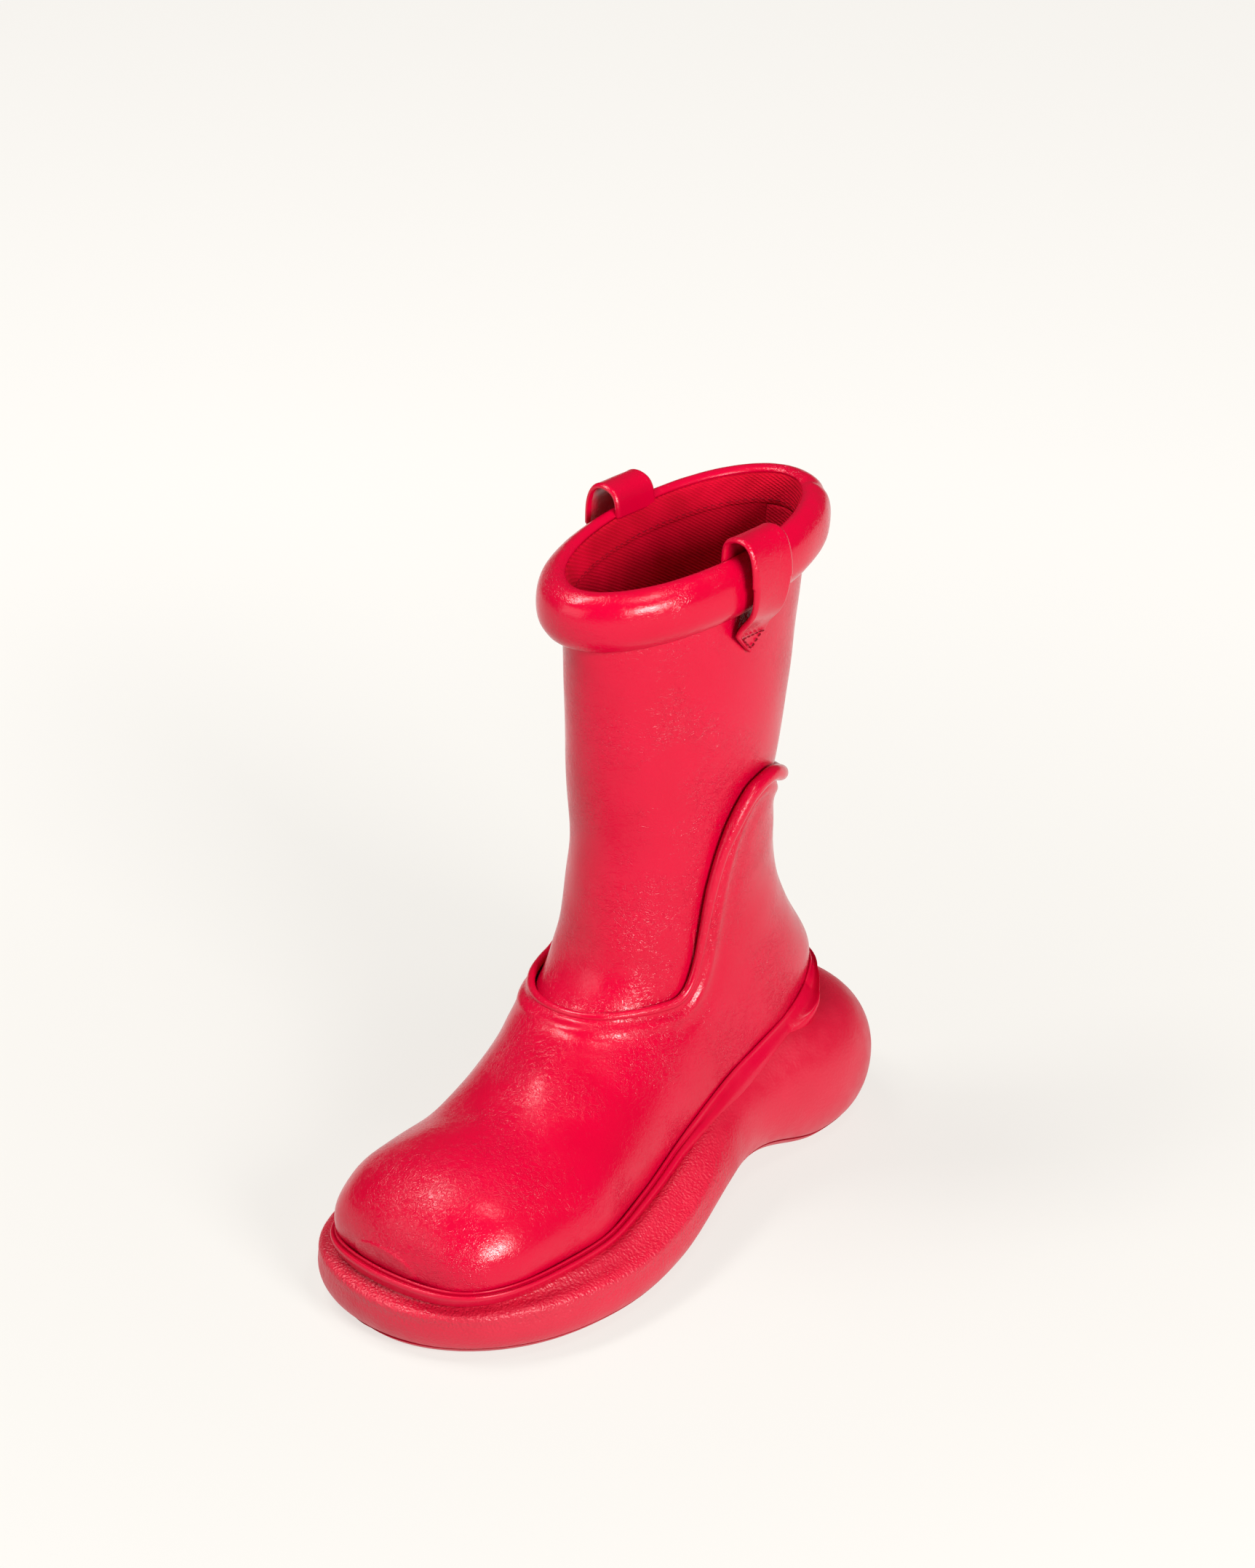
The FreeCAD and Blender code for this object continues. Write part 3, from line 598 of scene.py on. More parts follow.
# soft unevenness of the vamp: a hollow behind the toe dome and between two gentle swells
swell = (0.35 * ripple(plain, 70, 11) + 0.14 * ripple(plain, 26, 12)
         - 1.3 * bump(plain, (16, -86, 76), (36, 13, 16))
         + 1.7 * bump(plain, (18, -60, 80), (17, 14, 18))
         + 1.3 * bump(plain, (37, -33, 74), (10, 22, 15))
         - 0.5 * bump(plain, (26, -46, 80), (7, 22, 16)))
upper_side = np.clip((plain[..., 2] - 40) / 15, 0, 1)
galosh_grow = GALOSH_OUTER + lip + swell * upper_side * np.clip((away - 4) / 12, 0, 1)
galosh_outer = toe_capped(galosh_share, galosh_angle, galosh_grow)
galosh_inner = toe_capped(galosh_share, galosh_angle, np.full(galosh_share.shape, GALOSH_INNER))

FILLER_SHARE = 0.62


def bed(y):
    rows = [(row[1], row[2]) for row in STATIONS if 0.03 <= row[0] <= 0.53]
    return blend(rows, y, 1)


def bottom_hole(points):
    """Cells over the open middle of the bottom, where the filler is."""
    rows = [(row[1], row[9], row[5]) for row in STATIONS if 0.08 <= row[0] <= 0.53]
    y = points[..., 1]
    inside = (y > rows[0][0]) & (y < rows[-1][0])
    across = np.abs(points[..., 0] - blend(rows, y, 1)) < FILLER_SHARE * blend(rows, y, 2)
    return inside & across & (points[..., 2] < bed(y) + 3)


galosh = shell("galosh_skin", galosh_outer, galosh_inner, GLOSS, tip=True, hole=bottom_hole)
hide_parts("galosh_shell")

# Stuffed roll along the edge
ahead = unit(np.roll(edge_path, -1, 0) - np.roll(edge_path, 1, 0))
leg_middle = np.stack([np.full(EDGE_POINTS, -2.0), 0.5 * (edge_path[:, 1] + 40), edge_path[:, 2]], axis=-1)
normal = edge_path - leg_middle
normal = unit(normal - (normal * ahead).sum(1)[:, None] * ahead)
across = np.cross(ahead, normal)
across *= np.sign(across[:, 2].mean())
turns = round_turn(ROLL_TURNS)
roll_pinch = 1 + 0.025 * ripple(edge_path, 24, 21) + 0.012 * ripple(edge_path, 9, 22)
roll_radius = blend(ROLL_LOOK, edge_path[:, 2], 1)
roll_sections = (edge_path[:, None] + (roll_radius * roll_pinch)[:, None, None] * (
    normal[:, None] * (0.98 * np.cos(turns)[None, :, None])
    + across[:, None] * np.sin(turns)[None, :, None]))
roll = tube("edge_roll", roll_sections, GLOSS_TRIM)
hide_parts("galosh_edge_roll", "edge_roll_cord")

# ---------------- shaft
SHAFT_ROWS = 230
shaft_end = share_where(angles, lambda y: top_line(y) - 2.6, 0.0, TOP_RANGE)
start = share_where(angles, lambda y: edge_level(y) - 12.0, 0.0, EDGE_RANGE)
t = np.linspace(0, 1, SHAFT_ROWS)[:, None]
shaft_share = start[None] * (1 - t) + shaft_end[None] * t
shaft_angle = np.broadcast_to(angles, shaft_share.shape)
plain = form(shaft_share, shaft_angle, 0.0)
away = edge_distance(plain)
shaft_grow = (0.30 * ripple(plain, 80, 31) + 0.10 * ripple(plain, 30, 32)
              - 0.3 * np.exp(-(away / 5.0) ** 2)
              + 1.0 * bump(plain, (14, -14, 122), (14, 30, 12))
              - 0.7 * bump(plain, (-14, -14, 140), (14, 30, 10)))
shaft_grow *= np.clip((290 - plain[..., 2]) / 30, 0, 1)


def lean(points):
    """The upper end of the lining leans out to the collar, over the shaft's edge."""
    return 2.5 * np.clip((points[..., 2] - top_line(points[..., 1]) + 12) / 12, 0, 1) ** 2


shaft_inner = np.minimum(-2.2 + lean(plain) * 0.7, -0.6)
shaft = shell("shaft_skin", form(shaft_share, shaft_angle, shaft_grow),
              form(shaft_share, shaft_angle, shaft_inner), GLOSS)
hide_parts("shaft_shell")

# ---------------- collar
COLLAR_FRAMES, COLLAR_TURNS = 420, 72
COLLAR_SEAM = np.array([11.0, 111.0, 286.5])
turns = round_turn(COLLAR_FRAMES)
tilted = COLLAR_LONG * np.sin(turns)
ellipse = np.stack([COLLAR_ACROSS * np.cos(turns), COLLAR_Y + tilted * math.cos(COLLAR_TILT),
                    COLLAR_LEVEL + tilted * math.sin(COLLAR_TILT)], axis=-1)
collar_path = even_path(ellipse, COLLAR_FRAMES)
collar_out, collar_up = frames_along(collar_path)
# Section of the collar: out, up, share of the room to the shaft's own line
COLLAR_SECTION = [
    (10.7, 0, 0), (10.3, 4.6, 0), (8.9, 8.5, 0), (6.3, 11.3, 0), (3.3, 12.9, .3), (0.9, 13.0, .7),
    (-0.6, 12.5, 1), (-1.5, 11.9, 1), (-1.7, 11.2, 1), (-1.1, 10.2, 1), (-0.1, 8.8, 1), (0, 4, 1),
    (0, -4, 1), (0, -9, 1), (0.3, -12.0, 1), (2.0, -12.9, .6), (4.6, -12.2, .2), (6.8, -10.8, 0),
    (9.1, -7.7, 0), (10.3, -4.3, 0),
]
section = closed_spline(COLLAR_SECTION, COLLAR_TURNS)
side_share = (collar_path[:, 0] / COLLAR_ACROSS) ** 2
room = 1.5 * side_share - 0.3 * (1 - side_share)
seam_at = np.linalg.norm(collar_path - COLLAR_SEAM, axis=1)
pinch = 1 - 0.075 * np.exp(-(seam_at / 3.2) ** 2) - 0.02 * np.exp(-((seam_at - 9) / 5.0) ** 2)
puff = pinch * (1 + 0.018 * ripple(collar_path, 60, 41) + 0.010 * ripple(collar_path, 20, 42))
outer_side = np.clip(section[:, 0] / 5, 0, 1)
swell = 1 + (puff[:, None] - 1) * outer_side[None]
collar_wide = section[None, :, 0] * swell + section[None, :, 2] * room[:, None]
collar_high = section[None, :, 1] * (1 + (pinch[:, None] - 1) * 0.7)
collar_sections = (collar_path[:, None] + collar_out[:, None] * collar_wide[..., None]
                   + collar_up[:, None] * collar_high[..., None])
low_side = np.clip(-section[:, 1] / 13 - 0.45, 0, 1) * outer_side
high_side = np.clip(section[:, 1] / 13 - 0.7, 0, 1)
gather = np.exp(-(seam_at / 14.0) ** 2)          # small wrinkles beside the seam
folds = (ripple(collar_sections, 9.0, 43) * low_side[None] * (0.5 + 1.2 * gather[:, None])
         + ripple(collar_sections, 6.0, 44) * high_side[None] * (0.5 + 1.5 * gather[:, None]))
collar_sections += collar_out[:, None] * folds[..., None] * 0.45
collar = tube("collar_puff", collar_sections, GLOSS_COLLAR)
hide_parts("collar_cover", "collar_foam")

# ---------------- lining
# Offsets of the cloth's two sides from the form; the band and the strip lie on the inner one
LINING_OUTSIDE, LINING_INSIDE, BAND_OUTSIDE, BAND_INSIDE = -2.5, -3.6, -3.75, -4.75
LINING_ROWS = 260
steps = np.concatenate([np.zeros(CAP_ROWS), np.linspace(0, 1, LINING_ROWS - CAP_ROWS)])
lining_end = share_where(angles, top_line, -3.0, TOP_RANGE)
lining_share = steps[:, None] * lining_end[None]
lining_angle = np.broadcast_to(angles, lining_share.shape)
plain = form(lining_share, lining_angle, LINING_INSIDE)
# loose cloth above the foot, held by the band at its top
sag = 0.45 * ripple(plain, 45, 51) + 0.3 * ripple(plain * np.array([1, 1, 0.45]), 17, 52)
sag = sag * np.clip((plain[..., 2] - 60) / 30, 0, 1) * np.clip((270 - plain[..., 2]) / 20, 0, 1)
lining_outer = LINING_OUTSIDE + lean(plain) * 0.85
lining_inner = LINING_INSIDE + lean(plain) + np.minimum(sag, 0.5)
lining = shell("lining_cloth", toe_capped(lining_share, lining_angle, lining_outer),
               toe_capped(lining_share, lining_angle, lining_inner), TWILL, tip=True)
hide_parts("lining")


def fade_in(share):
    """From 1 at the edge of a strip to 0 a tenth of the way in, for its rounded edge."""
    return 1 - np.clip(share / 0.10, 0, 1) ** 0.5


BAND_ROWS = 26
band_steps = np.linspace(0, 1, BAND_ROWS)
band_foot = share_where(angles, lambda y: top_line(y) - FACING_DROP, -4.0, TOP_RANGE)
band_shares = band_foot[None] + (lining_end - band_foot)[None] * band_steps[:, None]
plain = form(band_shares, np.broadcast_to(angles, band_shares.shape), -3.8)
edge_round = 0.55 * fade_in(band_steps) + 0.55 * fade_in(1 - band_steps)
pucker = 0.12 * ripple(plain, 6, 61)
band_angles = np.broadcast_to(angles, band_shares.shape)
band_inner = BAND_INSIDE + lean(plain) + edge_round[:, None] + pucker
facing = shell("lining_facing", form(band_shares, band_angles, BAND_OUTSIDE + lean(plain)),
               form(band_shares, band_angles, band_inner), TWILL_BAND)
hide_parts("lining_top_facing")

STRIP_ROWS, STRIP_COLUMNS, STRIP_FOOT, STRIP_HALF_ANGLE = 200, 21, 0.60, 0.245
strip_across = np.linspace(-1, 1, STRIP_COLUMNS)
strip_angle = math.pi + strip_across * STRIP_HALF_ANGLE
strip_end = share_where(strip_angle, lambda y: top_line(y) - FACING_DROP - 0.4, -4.0, TOP_RANGE)
strip_share = STRIP_FOOT + (strip_end - STRIP_FOOT)[None] * np.linspace(0, 1, STRIP_ROWS)[:, None]
strip_angles = np.broadcast_to(strip_angle, strip_share.shape)
plain = form(strip_share, strip_angles, -3.8)
strip_inner = BAND_INSIDE + 0.5 * np.abs(strip_across)[None] ** 10 + 0.1 * ripple(plain, 9, 62)
strip_points = np.concatenate([form(strip_share, strip_angles, BAND_OUTSIDE).reshape(-1, 3),
                               form(strip_share, strip_angles, strip_inner).reshape(-1, 3)])
strip = add_mesh("back_strip", strip_points, slab_faces(STRIP_ROWS, STRIP_COLUMNS), TWILL_BAND)
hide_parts("lining_back_strip")


STITCH_STEPS, STITCH_SIDES = 7, 8


def stitches(name, path, outwards, length, pitch, radius):
    """A row of separate stitches along a closed path, each a short thread sunk at its ends."""
    looped = np.concatenate([path, path[:1]])
    run = run_along(looped)
    out_looped = np.concatenate([outwards, outwards[:1]])
    count = int(run[-1] // pitch)
    points, faces = [], []
    for k in range(count):
        centre = (k + 0.5) * run[-1] / count
        at = centre + np.linspace(-0.5, 0.5, STITCH_STEPS) * length
        line = placed(at, run, looped)
        out = unit(placed(centre, run, out_looped))
        side = np.cross(unit(line[-1] - line[0]), out)
        base = len(points)
        for step, p in enumerate(line):
            reach = 2 * step / (STITCH_STEPS - 1) - 1
            lift = out * radius * (0.9 - 1.6 * reach ** 4)
            r = radius * math.sqrt(max(0.06, 1 - reach ** 6))
            for m in range(STITCH_SIDES):
                turn = m * 2 * math.pi / STITCH_SIDES
                points.append(p + lift + r * (side * math.cos(turn) + out * math.sin(turn)))
        faces += [tuple(base + i for i in f) for f in grid_faces(STITCH_STEPS, STITCH_SIDES)]
        for first in (base, len(points) - STITCH_SIDES):
            faces.append(tuple(first + m for m in range(STITCH_SIDES)))
    return add_mesh(name, np.array(points), faces, THREAD)


STITCH_ANGLES = 480
stitch_angles = round_turn(STITCH_ANGLES)
stitch_share = share_where(stitch_angles, lambda y: top_line(y) - FACING_DROP + 2.2, -4.6, TOP_RANGE)
inside = form(stitch_share, stitch_angles, BAND_INSIDE + 0.12)
rows = stitches("facing_stitches", inside, unit(inside.mean(0) - inside), 2.6, 3.6, 0.24)
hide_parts("lining_stitching")

# ---------------- foot bed
SOCK_ROWS, SOCK_COLUMNS = 110, 41
SOCK_RISE, SOCK_THICKNESS = 9.6, 3.4
sock_share = np.linspace(0.035, 0.535, SOCK_ROWS)
bed_y = np.interp(sock_share, fine_share, fine_columns[0])
bed_z = np.interp(sock_share, fine_share, fine_columns[1])
bed_half = np.interp(sock_share, fine_share, fine_columns[4])
bed_middle = np.interp(sock_share, fine_share, fine_columns[8])
lateral = np.linspace(-1, 1, SOCK_COLUMNS)
run = (sock_share - sock_share[0]) / (sock_share[-1] - sock_share[0])
ends = np.clip(1 - (2 * run - 1) ** 8, 0, 1) ** 0.5 * 0.985 + 0.015
reach = (bed_half - 7.5) * ends
x = bed_middle[:, None] + reach[:, None] * lateral[None]
dish = 2.2 * np.abs(lateral) ** 4
flat = np.stack([x, np.broadcast_to(bed_y[:, None], x.shape), x * 0], -1)
top = bed_z[:, None] + SOCK_RISE + dish[None] + 0.25 * ripple(flat, 28, 71)
side_crown = SOCK_THICKNESS * (1 - np.abs(lateral) ** 12) ** 0.5
crown = side_crown * np.clip(1 - (2 * run - 1) ** 30, 0.02, 1)[:, None] ** 0.5 + 0.1
y = np.broadcast_to(bed_y[:, None] - 1.0, x.shape)
upper = np.stack([x, y, top], -1)
under = np.stack([x, y, top - crown], -1)
sock = add_mesh("sock_cushion", np.concatenate([upper.reshape(-1, 3), under.reshape(-1, 3)]),
                slab_faces(SOCK_ROWS, SOCK_COLUMNS), SOCK)
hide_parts("sock_liner", "footbed_foam")

# ---------------- sole
SOLE_FRAMES = 720
UP = np.array([0, 0, 1.0])
outline = closed_spline([(x0, y0, 0.0) for x0, y0 in OUTLINE], SOLE_FRAMES)
sole_out = frames_along(outline)[0]
skin_tree = BVHTree.FromPolygons([tuple(p) for p in galosh_outer.reshape(-1, 3)],
                                 grid_faces(*galosh_outer.shape[:2]))


def on_skin(level):
    """Where the overshoe's skin is, going in from each outline point at a level."""
    hits = []
    for place, out, z in zip(outline, sole_out, level):
        start_at = Vector((place[0], place[1], z)) + Vector(out) * 5
        hit = skin_tree.ray_cast(start_at, -Vector(out), 70)[0]
        hits.append(np.array(hit) if hit else None)
    for k, hit in enumerate(hits):
        if hit is None:
            hits[k] = hits[k - 1]
    return np.array(hits)


along = outline[:, 1]
mid_z, top_z, foot_z, top_inset, foot_inset = [blend(SOLE, along, c) for c in range(1, 6)]


contact = on_skin(top_z + 1.0)
ledge = ((outline - contact) * sole_out).sum(1)          # room from the outline in to the upper
ledge = loop_smoothed(ledge, 30)
fore = np.clip((10 - along) / 50, 0, 1)
fore = fore * fore * (3 - 2 * fore)

# Section of the midsole from the basin under the foot, over the top, round the puffed
# side, to the parting line, as how far out from the outline and how high
part_z = foot_z + OUTSOLE_WALL + 0.15
low_turn = np.arcsin(np.clip((mid_z - part_z) / (mid_z - foot_z), -1, 1))
rows_out, rows_z = [], []
basin = bed(along) - 4.6
for inset, height in ((ledge + 9.0, basin), (ledge + 5.0, basin + 0.1), (ledge + 2.6, basin + 1.6),
                      (ledge + 1.8, 0.5 * (basin + top_z)), (ledge + 1.6, top_z - 1.0)):
    rows_out.append(-inset)
    rows_z.append(height)
TOP_TURNS = 30
top_turn = np.arccos(np.clip(1 - (ledge + 1.2) / top_inset, 0, 1))      # where the top meets the welt
for k in range(TOP_TURNS + 1):
    turn = top_turn * (1 - k / TOP_TURNS)
    c, s = np.cos(turn), np.sin(turn)
    round_out = top_inset * (c - 1)
    round_z = mid_z + (top_z - mid_z) * s
    # a soft ridge over the forefoot and a hollow inside it
    facet = fore * 1.5 * math.exp(-((k / TOP_TURNS - 0.64) / 0.13) ** 2)
    facet = facet - fore * 1.7 * math.exp(-((k / TOP_TURNS - 0.34) / 0.17) ** 2)
    rows_out.append(round_out + facet * c)
    rows_z.append(round_z + facet * s)
LOW_TURNS = 18
for k in range(1, LOW_TURNS + 1):
    turn = low_turn * k / LOW_TURNS
    c, s = np.cos(turn), np.sin(turn)
    tuck = 0.7 * max(0.0, (k - LOW_TURNS + 2) / 2) ** 2
    rows_out.append(foot_inset * (c - 1) - tuck)
    rows_z.append(mid_z - (mid_z - foot_z) * s + 0.10 * tuck)
rows_out.append(rows_out[-1] - 3.0)
rows_z.append(part_z + 0.05)
rows_out.append(rows_out[-1] - 5.0)
rows_z.append(part_z + 0.05)
midsole_rows = np.array([outline + sole_out * o[:, None] + UP * z[:, None]
                         for o, z in zip(rows_out, rows_z)])


def filled(name, rows_grid, finish):
    """A closed piece from rings of points; the first and the last ring are filled."""
    rows_n, columns = rows_grid.shape[:2]
    item = add_mesh(name, rows_grid.reshape(-1, 3), grid_faces(rows_n, columns), finish)
    shape = bmesh.new()
    shape.from_mesh(item.data)
    shape.verts.ensure_lookup_table()
    for first_index in (0, (rows_n - 1) * columns):
        ring = [shape.verts[first_index + c] for c in range(columns)]
        edges = [shape.edges.get((ring[c], ring[(c + 1) % columns])) for c in range(columns)]
        bmesh.ops.triangle_fill(shape, edges=edges, use_beauty=True)
    bmesh.ops.recalc_face_normals(shape, faces=shape.faces)
    shape.to_mesh(item.data)
    shape.free()
    item.data.polygons.foreach_set("use_smooth", [True] * len(item.data.polygons))
    return item


midsole = filled("midsole_puff", midsole_rows, FOAM)
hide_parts("midsole")

# Welt: a narrow bead against the upper and a wider one outside it, taller round the heel
contact = loop_smoothed(on_skin(top_z + 2.0), 10)
contact[:, 2] = top_z
# Its section over the forefoot, at the side of the heel and behind the heel, each as
# out, up, share of the welt's height added to up
WELT_FRONT = [
    (-2.0, -3.0, 0), (-2.0, -.4, .4), (-0.7, -1.1, .8), (0.05, -1.0, .95), (0.30, -.4, 1), (0.95, 0, 1),
    (1.60, -.4, 1), (1.85, -.95, .96), (2.0, -1.35, .9), (2.3, -1.0, .8), (2.7, -.1, .7), (3.4, .5, .62),
    (4.1, .6, .52), (4.7, .4, .4), (5.0, .2, .25), (5.05, -.2, .1), (4.9, -2.5, 0), (3.0, -3.4, 0),
    (0.0, -3.4, 0),
]
WELT_SIDE = [
    (-2.0, -3.0, 0), (-2.0, -3.5, 1), (-0.9, -1.9, 1), (-0.1, -1.0, 1), (0.25, -.35, 1), (0.85, 0, 1),
    (1.6, -.5, 1), (2.1, -1.2, .97), (2.6, -1.5, .90), (3.2, -1.8, .82), (3.9, -2.0, .72), (4.7, -2.2, .60),
    (5.5, -2.5, .47), (6.3, -3.0, .34), (7.0, -3.8, .2), (7.4, -4.8, .08), (7.0, -6.2, 0), (5.0, -6.4, 0),
    (0.0, -5.8, 0),
]
WELT_BACK = [
    (-2.0, -3.0, 0), (-2.0, -4.5, 1), (-0.9, -2.4, 1), (-0.1, -1.2, 1), (0.25, -.4, 1), (0.9, 0, 1),
    (1.7, -.6, 1), (2.5, -1.5, 1), (3.3, -2.2, 1), (4.2, -2.7, 1), (5.2, -2.8, 1), (6.2, -2.4, 1),
    (7.0, -1.8, 1), (7.5, -2.0, 1), (7.6, -3.2, .9), (6.9, -3.0, .5), (6.4, -5.6, 0), (3.0, -6.0, 0),
    (0.0, -5.6, 0),
]
WELT_TURNS = 96
sections = [closed_spline(table, WELT_TURNS) for table in (WELT_FRONT, WELT_SIDE, WELT_BACK)]
side_part = blend([(-10, 0.0), (45, 1.0), (72, 1.0), (100, 0.0)], along, 1)
back_part = blend([(72, 0.0), (100, 1.0), (140, 1.0)], along, 1)
front_part = np.clip(1 - side_part - back_part, 0, 1)
section = sum(part[:, None, None] * table[None]
              for part, table in zip((front_part, side_part, back_part), sections))
welt_out = loop_smoothed(sole_out, 6)
# it follows the upper's slope, so that its inner bead always touches it
rise = blend(WELT_RISE, along, 1)
upper_hit = on_skin(top_z + rise)
slope = loop_smoothed(((upper_hit - contact) * sole_out).sum(1) / rise, 12)
welt_up = section[..., 1] + section[..., 2] * rise[:, None]
# its lip stands off at the sides of the heel and hugs it behind
reach = blend([(70, 1.0), (94, 1.35), (108, 0.9), (122, 0.5), (142, 0.4)], along, 1)
BEAD = 1.5
beyond = BEAD + (section[..., 0] - BEAD) * reach[:, None]
section[..., 0] = np.where(section[..., 0] > BEAD, beyond, section[..., 0])
welt_rows = (contact[:, None] + welt_out[:, None] * (section[..., 0] + slope[:, None] * welt_up)[..., None]
             + UP * welt_up[..., None])
welt = tube("welt_beads", welt_rows, WELT)
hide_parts("welt")

# ---------------- pull straps
# The strap's middle line from inside the collar over its top and down to the stitched
# point: distance from the middle of the boot, height
STRAP_LINE = [(32.1, 291.0), (33.2, 298.8), (37.2, 302.4), (42.6, 302.7), (47.0, 299.0),
              (49.3, 290.0), (49.1, 279.5), (46.0, 270.0), (40.4, 262.8), (37.3, 256.0),
              (36.6, 249.0)]
TIP_FOOT, TIP_RISE = 249.0, 9.5
STRAP_WALL, STRAP_CROWN = 2.1, 0.35
STRAP_ROWS, STRAP_TURNS = 90, 48


def open_spline(points, count):
    """Smooth open curve through points, evenly spaced."""
    points = np.array(points, float)
    n = len(points)
    system = np.zeros((n, n))
    right = np.zeros_like(points)
    system[0, 0], system[0, 1], right[0] = 2, 1, 3 * (points[1] - points[0])
    system[-1, -1], system[-1, -2], right[-1] = 2, 1, 3 * (points[-1] - points[-2])
    for k in range(1, n - 1):
        system[k, k - 1], system[k, k], system[k, k + 1] = 1, 4, 1
        right[k] = 3 * (points[k + 1] - points[k - 1])
    tangent = np.linalg.solve(system, right)
    at = np.linspace(0, n - 1, 40 * n)
    i = np.minimum(at.astype(int), n - 2)
    s = (at - i)[:, None]
    fine = hermite(points[i], points[i + 1], tangent[i], tangent[i + 1], s)
    run = run_along(fine)
    return placed(np.linspace(0, run[-1], count), run, fine)


def strap(name, side, seed):
    """A folded strip, standing up as a loop over the collar and ending in a stitched point."""
    line = open_spline(STRAP_LINE, STRAP_ROWS)
    way = unit(np.gradient(line, axis=0))
    outward = np.stack([-way[:, 1], way[:, 0]], -1)
    if outward[10, 1] < 0:
        outward = -outward
    level = line[:, 1]
    width = STRAP_WIDTH * (0.96 - 0.20 * np.clip((288 - level) / 26, 0, 1) ** 1.3)
    lower = np.arange(STRAP_ROWS) > STRAP_ROWS / 2
    tip = np.clip((level - TIP_FOOT) / TIP_RISE, 0.03, 1)
    width = np.where(lower, width * tip, STRAP_WIDTH)
    soft = np.sin(np.linspace(0, math.pi, STRAP_ROWS))
    turns = round_turn(STRAP_TURNS)
    profile = list(zip(rounded(np.cos(turns), 14.0), rounded(np.sin(turns), 2.6)))
    sections = np.zeros((STRAP_ROWS, STRAP_TURNS, 3))
    for k in range(STRAP_ROWS):
        for m, (cx, cy) in enumerate(profile):
            crown = STRAP_CROWN * (1 - cx * cx) * soft[k]          # slightly domed across
            edge_bead = 0.30 * math.exp(-((abs(cx) - 0.86) / 0.09) ** 2)
            thick = STRAP_WALL / 2 * cy * (1 + edge_bead)
            off = thick + crown
            sections[k, m] = (side * (line[k, 0] + outward[k, 0] * off),
                              STRAP_PLACE[side] + cx * width[k] / 2,
                              line[k, 1] + outward[k, 1] * off)
    wobble = 0.25 * ripple(sections, 16, seed)
    sections[..., 0] += wobble * soft[:, None]
    faces = grid_faces(STRAP_ROWS, STRAP_TURNS)
    for k in (0, STRAP_ROWS - 1):
        faces.append(tuple(k * STRAP_TURNS + m for m in range(STRAP_TURNS)))
    item = add_mesh(name, sections.reshape(-1, 3), faces, GLOSS_TRIM)
    return item


medial = strap("pull_loop_medial", 1, 81)
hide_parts("pull_strap_medial")
lateral_strap = strap("pull_loop_lateral", -1, 82)
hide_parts("pull_strap_lateral")

foot_x, foot_z = np.array(STRAP_LINE[:-4:-1]).T          # the strap's sewn end, upwards
for side, label in ((1, "medial"), (-1, "lateral")):
    corners = [(-6.6, 257.6), (6.6, 257.6), (0.0, 251.0)]
    path, outs = [], []
    for k in range(3):
        (y0, z0), (y1, z1) = corners[k], corners[(k + 1) % 3]
        for s in np.linspace(0, 1, 20, endpoint=False):
            z = z0 + (z1 - z0) * s
            face = np.interp(z, foot_z, foot_x) + STRAP_WALL / 2 + STRAP_CROWN
            path.append((side * face, STRAP_PLACE[side] + y0 + (y1 - y0) * s, z))
            outs.append((side, 0, 0.25))
    item = stitches("loop_stitches_" + label, np.array(path), np.array(outs, float), 1.7, 2.3, 0.34)
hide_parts("pull_strap_stitching")

# ---------------- finishes of the inner parts and the outsole
PART_FINISHES = {
    "insole_board": BOARD, "toe_puff": STIFF, "heel_counter": STIFF, "vamp_interlining": HIDDEN_FOAM,
    "bottom_filler": HIDDEN_FOAM, "shank": STEEL, "outsole": RUBBER,
}
for label, finish in PART_FINISHES.items():
    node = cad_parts[label]
    node.data.materials.clear()
    node.data.materials.append(finish)

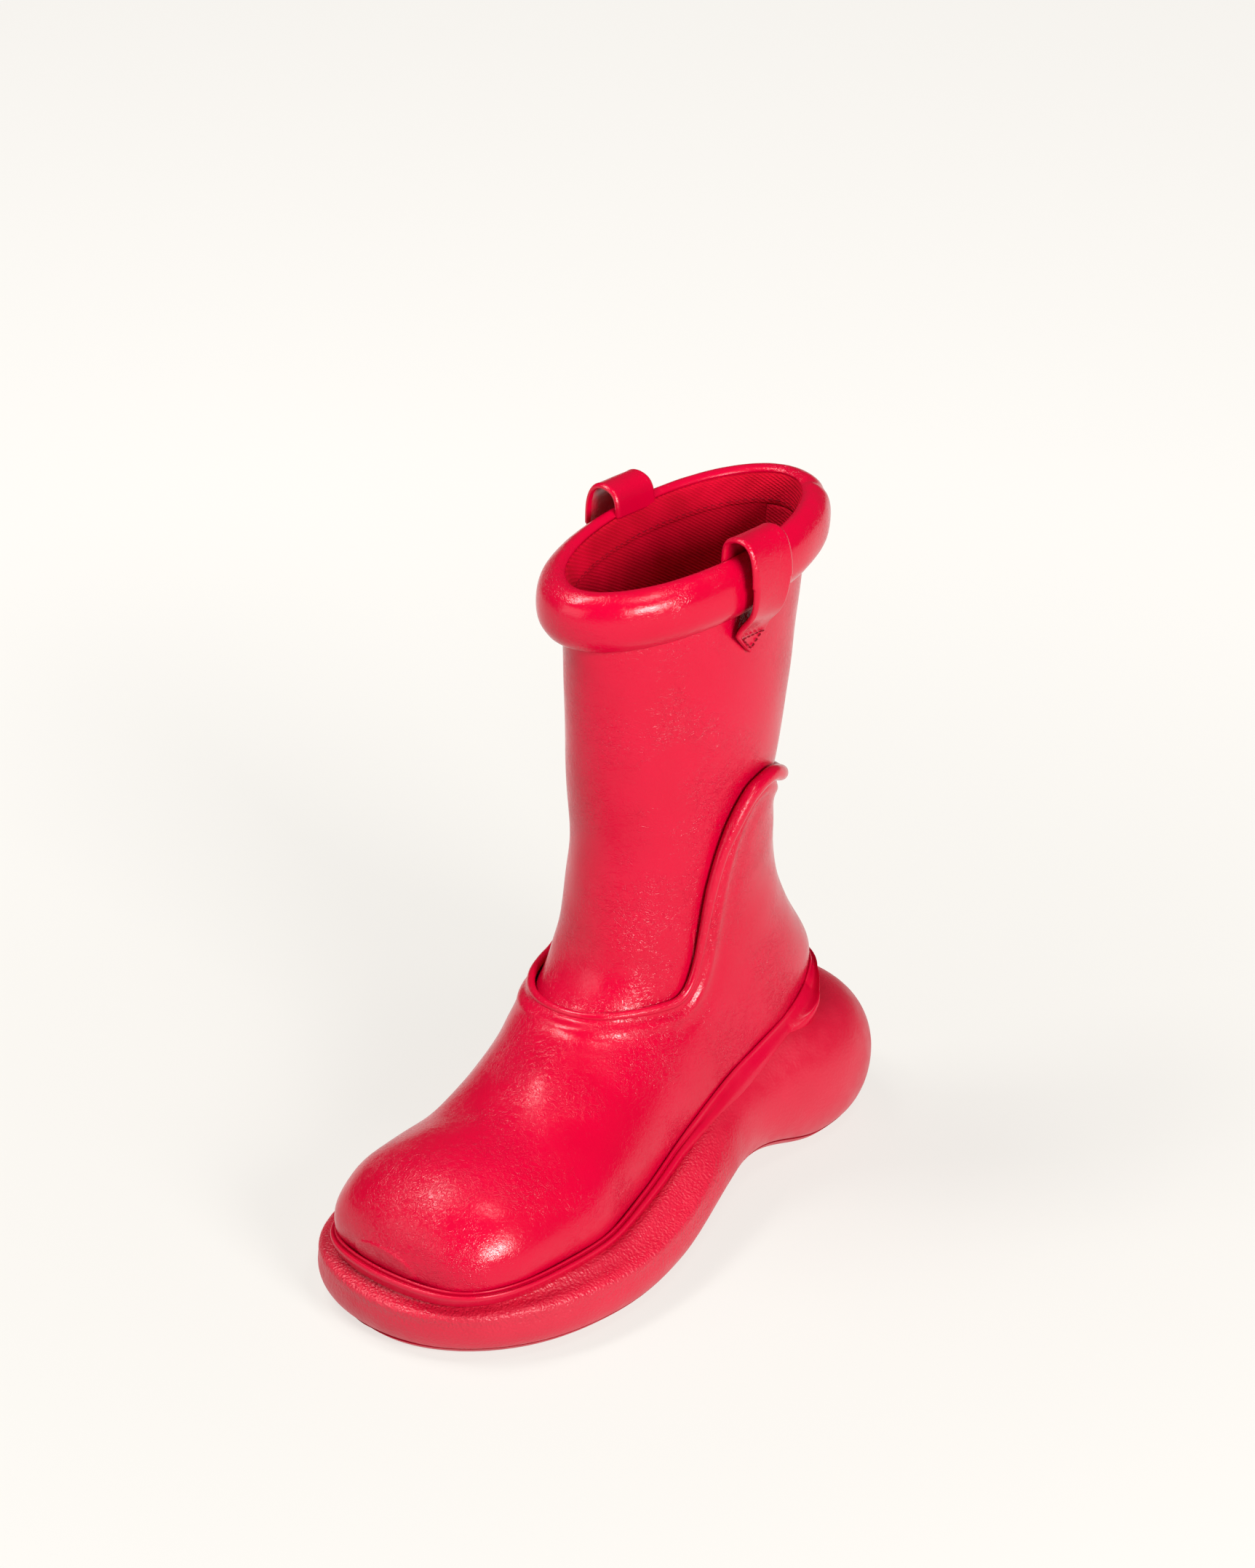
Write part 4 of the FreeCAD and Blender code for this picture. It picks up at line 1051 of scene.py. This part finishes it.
# ---------------- stage, light, camera
HALF_FLOOR = 6.0          # metres
corners = [(x * HALF_FLOOR, y * HALF_FLOOR, 0) for x, y in ((-1, -1), (1, -1), (1, 1), (-1, 1))]
floor_mesh = bpy.data.meshes.new("floor")
floor_mesh.from_pydata(corners, [], [(0, 1, 2, 3)])
floor = bpy.data.objects.new("floor", floor_mesh)
bpy.context.scene.collection.objects.link(floor)
# a dark grey floor, made pale mostly by painted glow rather than by the lamps
glowing_floor_finish, tree, shader, where = new_material("floor_painted_glow", 0.9, specular=0.0)
tree.links.new(colour_mix(tree, noise(tree, where, 3.0, 2.0), (0.170, 0.167, 0.160), (0.173, 0.170, 0.163)),
               shader.inputs["Base Color"])
# painted light: the sheet glows a little, and more towards its far parts, in place of the light that would
# fall on a lit backdrop
distance = tree.nodes.new("ShaderNodeVectorMath")
distance.operation = "LENGTH"
tree.links.new(where, distance.inputs[0])
far = mapped(tree, distance.outputs["Value"], 0.15, 0.9, 0.0, 1.0)
glow = colour_mix(tree, far, (0.715, 0.697, 0.665), (0.855, 0.833, 0.797))
tree.links.new(glow, shader.inputs["Emission Color"])
shader.inputs["Emission Strength"].default_value = 1.0
floor_mesh.materials.append(glowing_floor_finish)

world = bpy.data.worlds.new("studio")
bpy.context.scene.world = world
world.use_nodes = True
backdrop = world.node_tree.nodes["Background"]
backdrop.inputs["Color"].default_value = (1.0, 0.985, 0.955, 1)
backdrop.inputs["Strength"].default_value = 0.07


def soft_light(name, place, aim, width, height, power):
    data = bpy.data.lights.new(name, "AREA")
    data.shape, data.size, data.size_y, data.energy = "RECTANGLE", width, height, power
    data.color = (1.0, 0.985, 0.96)
    lamp = bpy.data.objects.new(name, data)
    lamp.location = place
    lamp.rotation_mode = "QUATERNION"
    lamp.rotation_quaternion = (Vector(aim) - Vector(place)).to_track_quat("-Z", "Y")
    bpy.context.scene.collection.objects.link(lamp)


AIM = (0.0, 0.0, 0.12)
soft_light("over", (-0.66, -0.20, 1.98), AIM, 0.5, 0.5, 13)
soft_light("over_right", (0.66, 0.10, 1.92), AIM, 0.30, 0.45, 6)
soft_light("over_left", (-0.74, -0.70, 1.82), AIM, 0.45, 0.45, 16)
soft_light("key", (1.85, -0.50, 0.98), AIM, 0.66, 0.66, 54)
soft_light("fill", (-0.6, -2.0, 0.9), AIM, 1.6, 1.2, 14)

camera_data = bpy.data.cameras.new("camera")
camera_data.sensor_width, camera_data.lens = 36.0, 103.5
camera = bpy.data.objects.new("camera", camera_data)
camera.location = (1.1248, -1.2453, 1.0181)
camera.rotation_euler = (math.radians(64), 0, math.radians(42))
bpy.context.scene.collection.objects.link(camera)
bpy.context.scene.camera = camera
bpy.context.scene.view_settings.view_transform = "Standard"
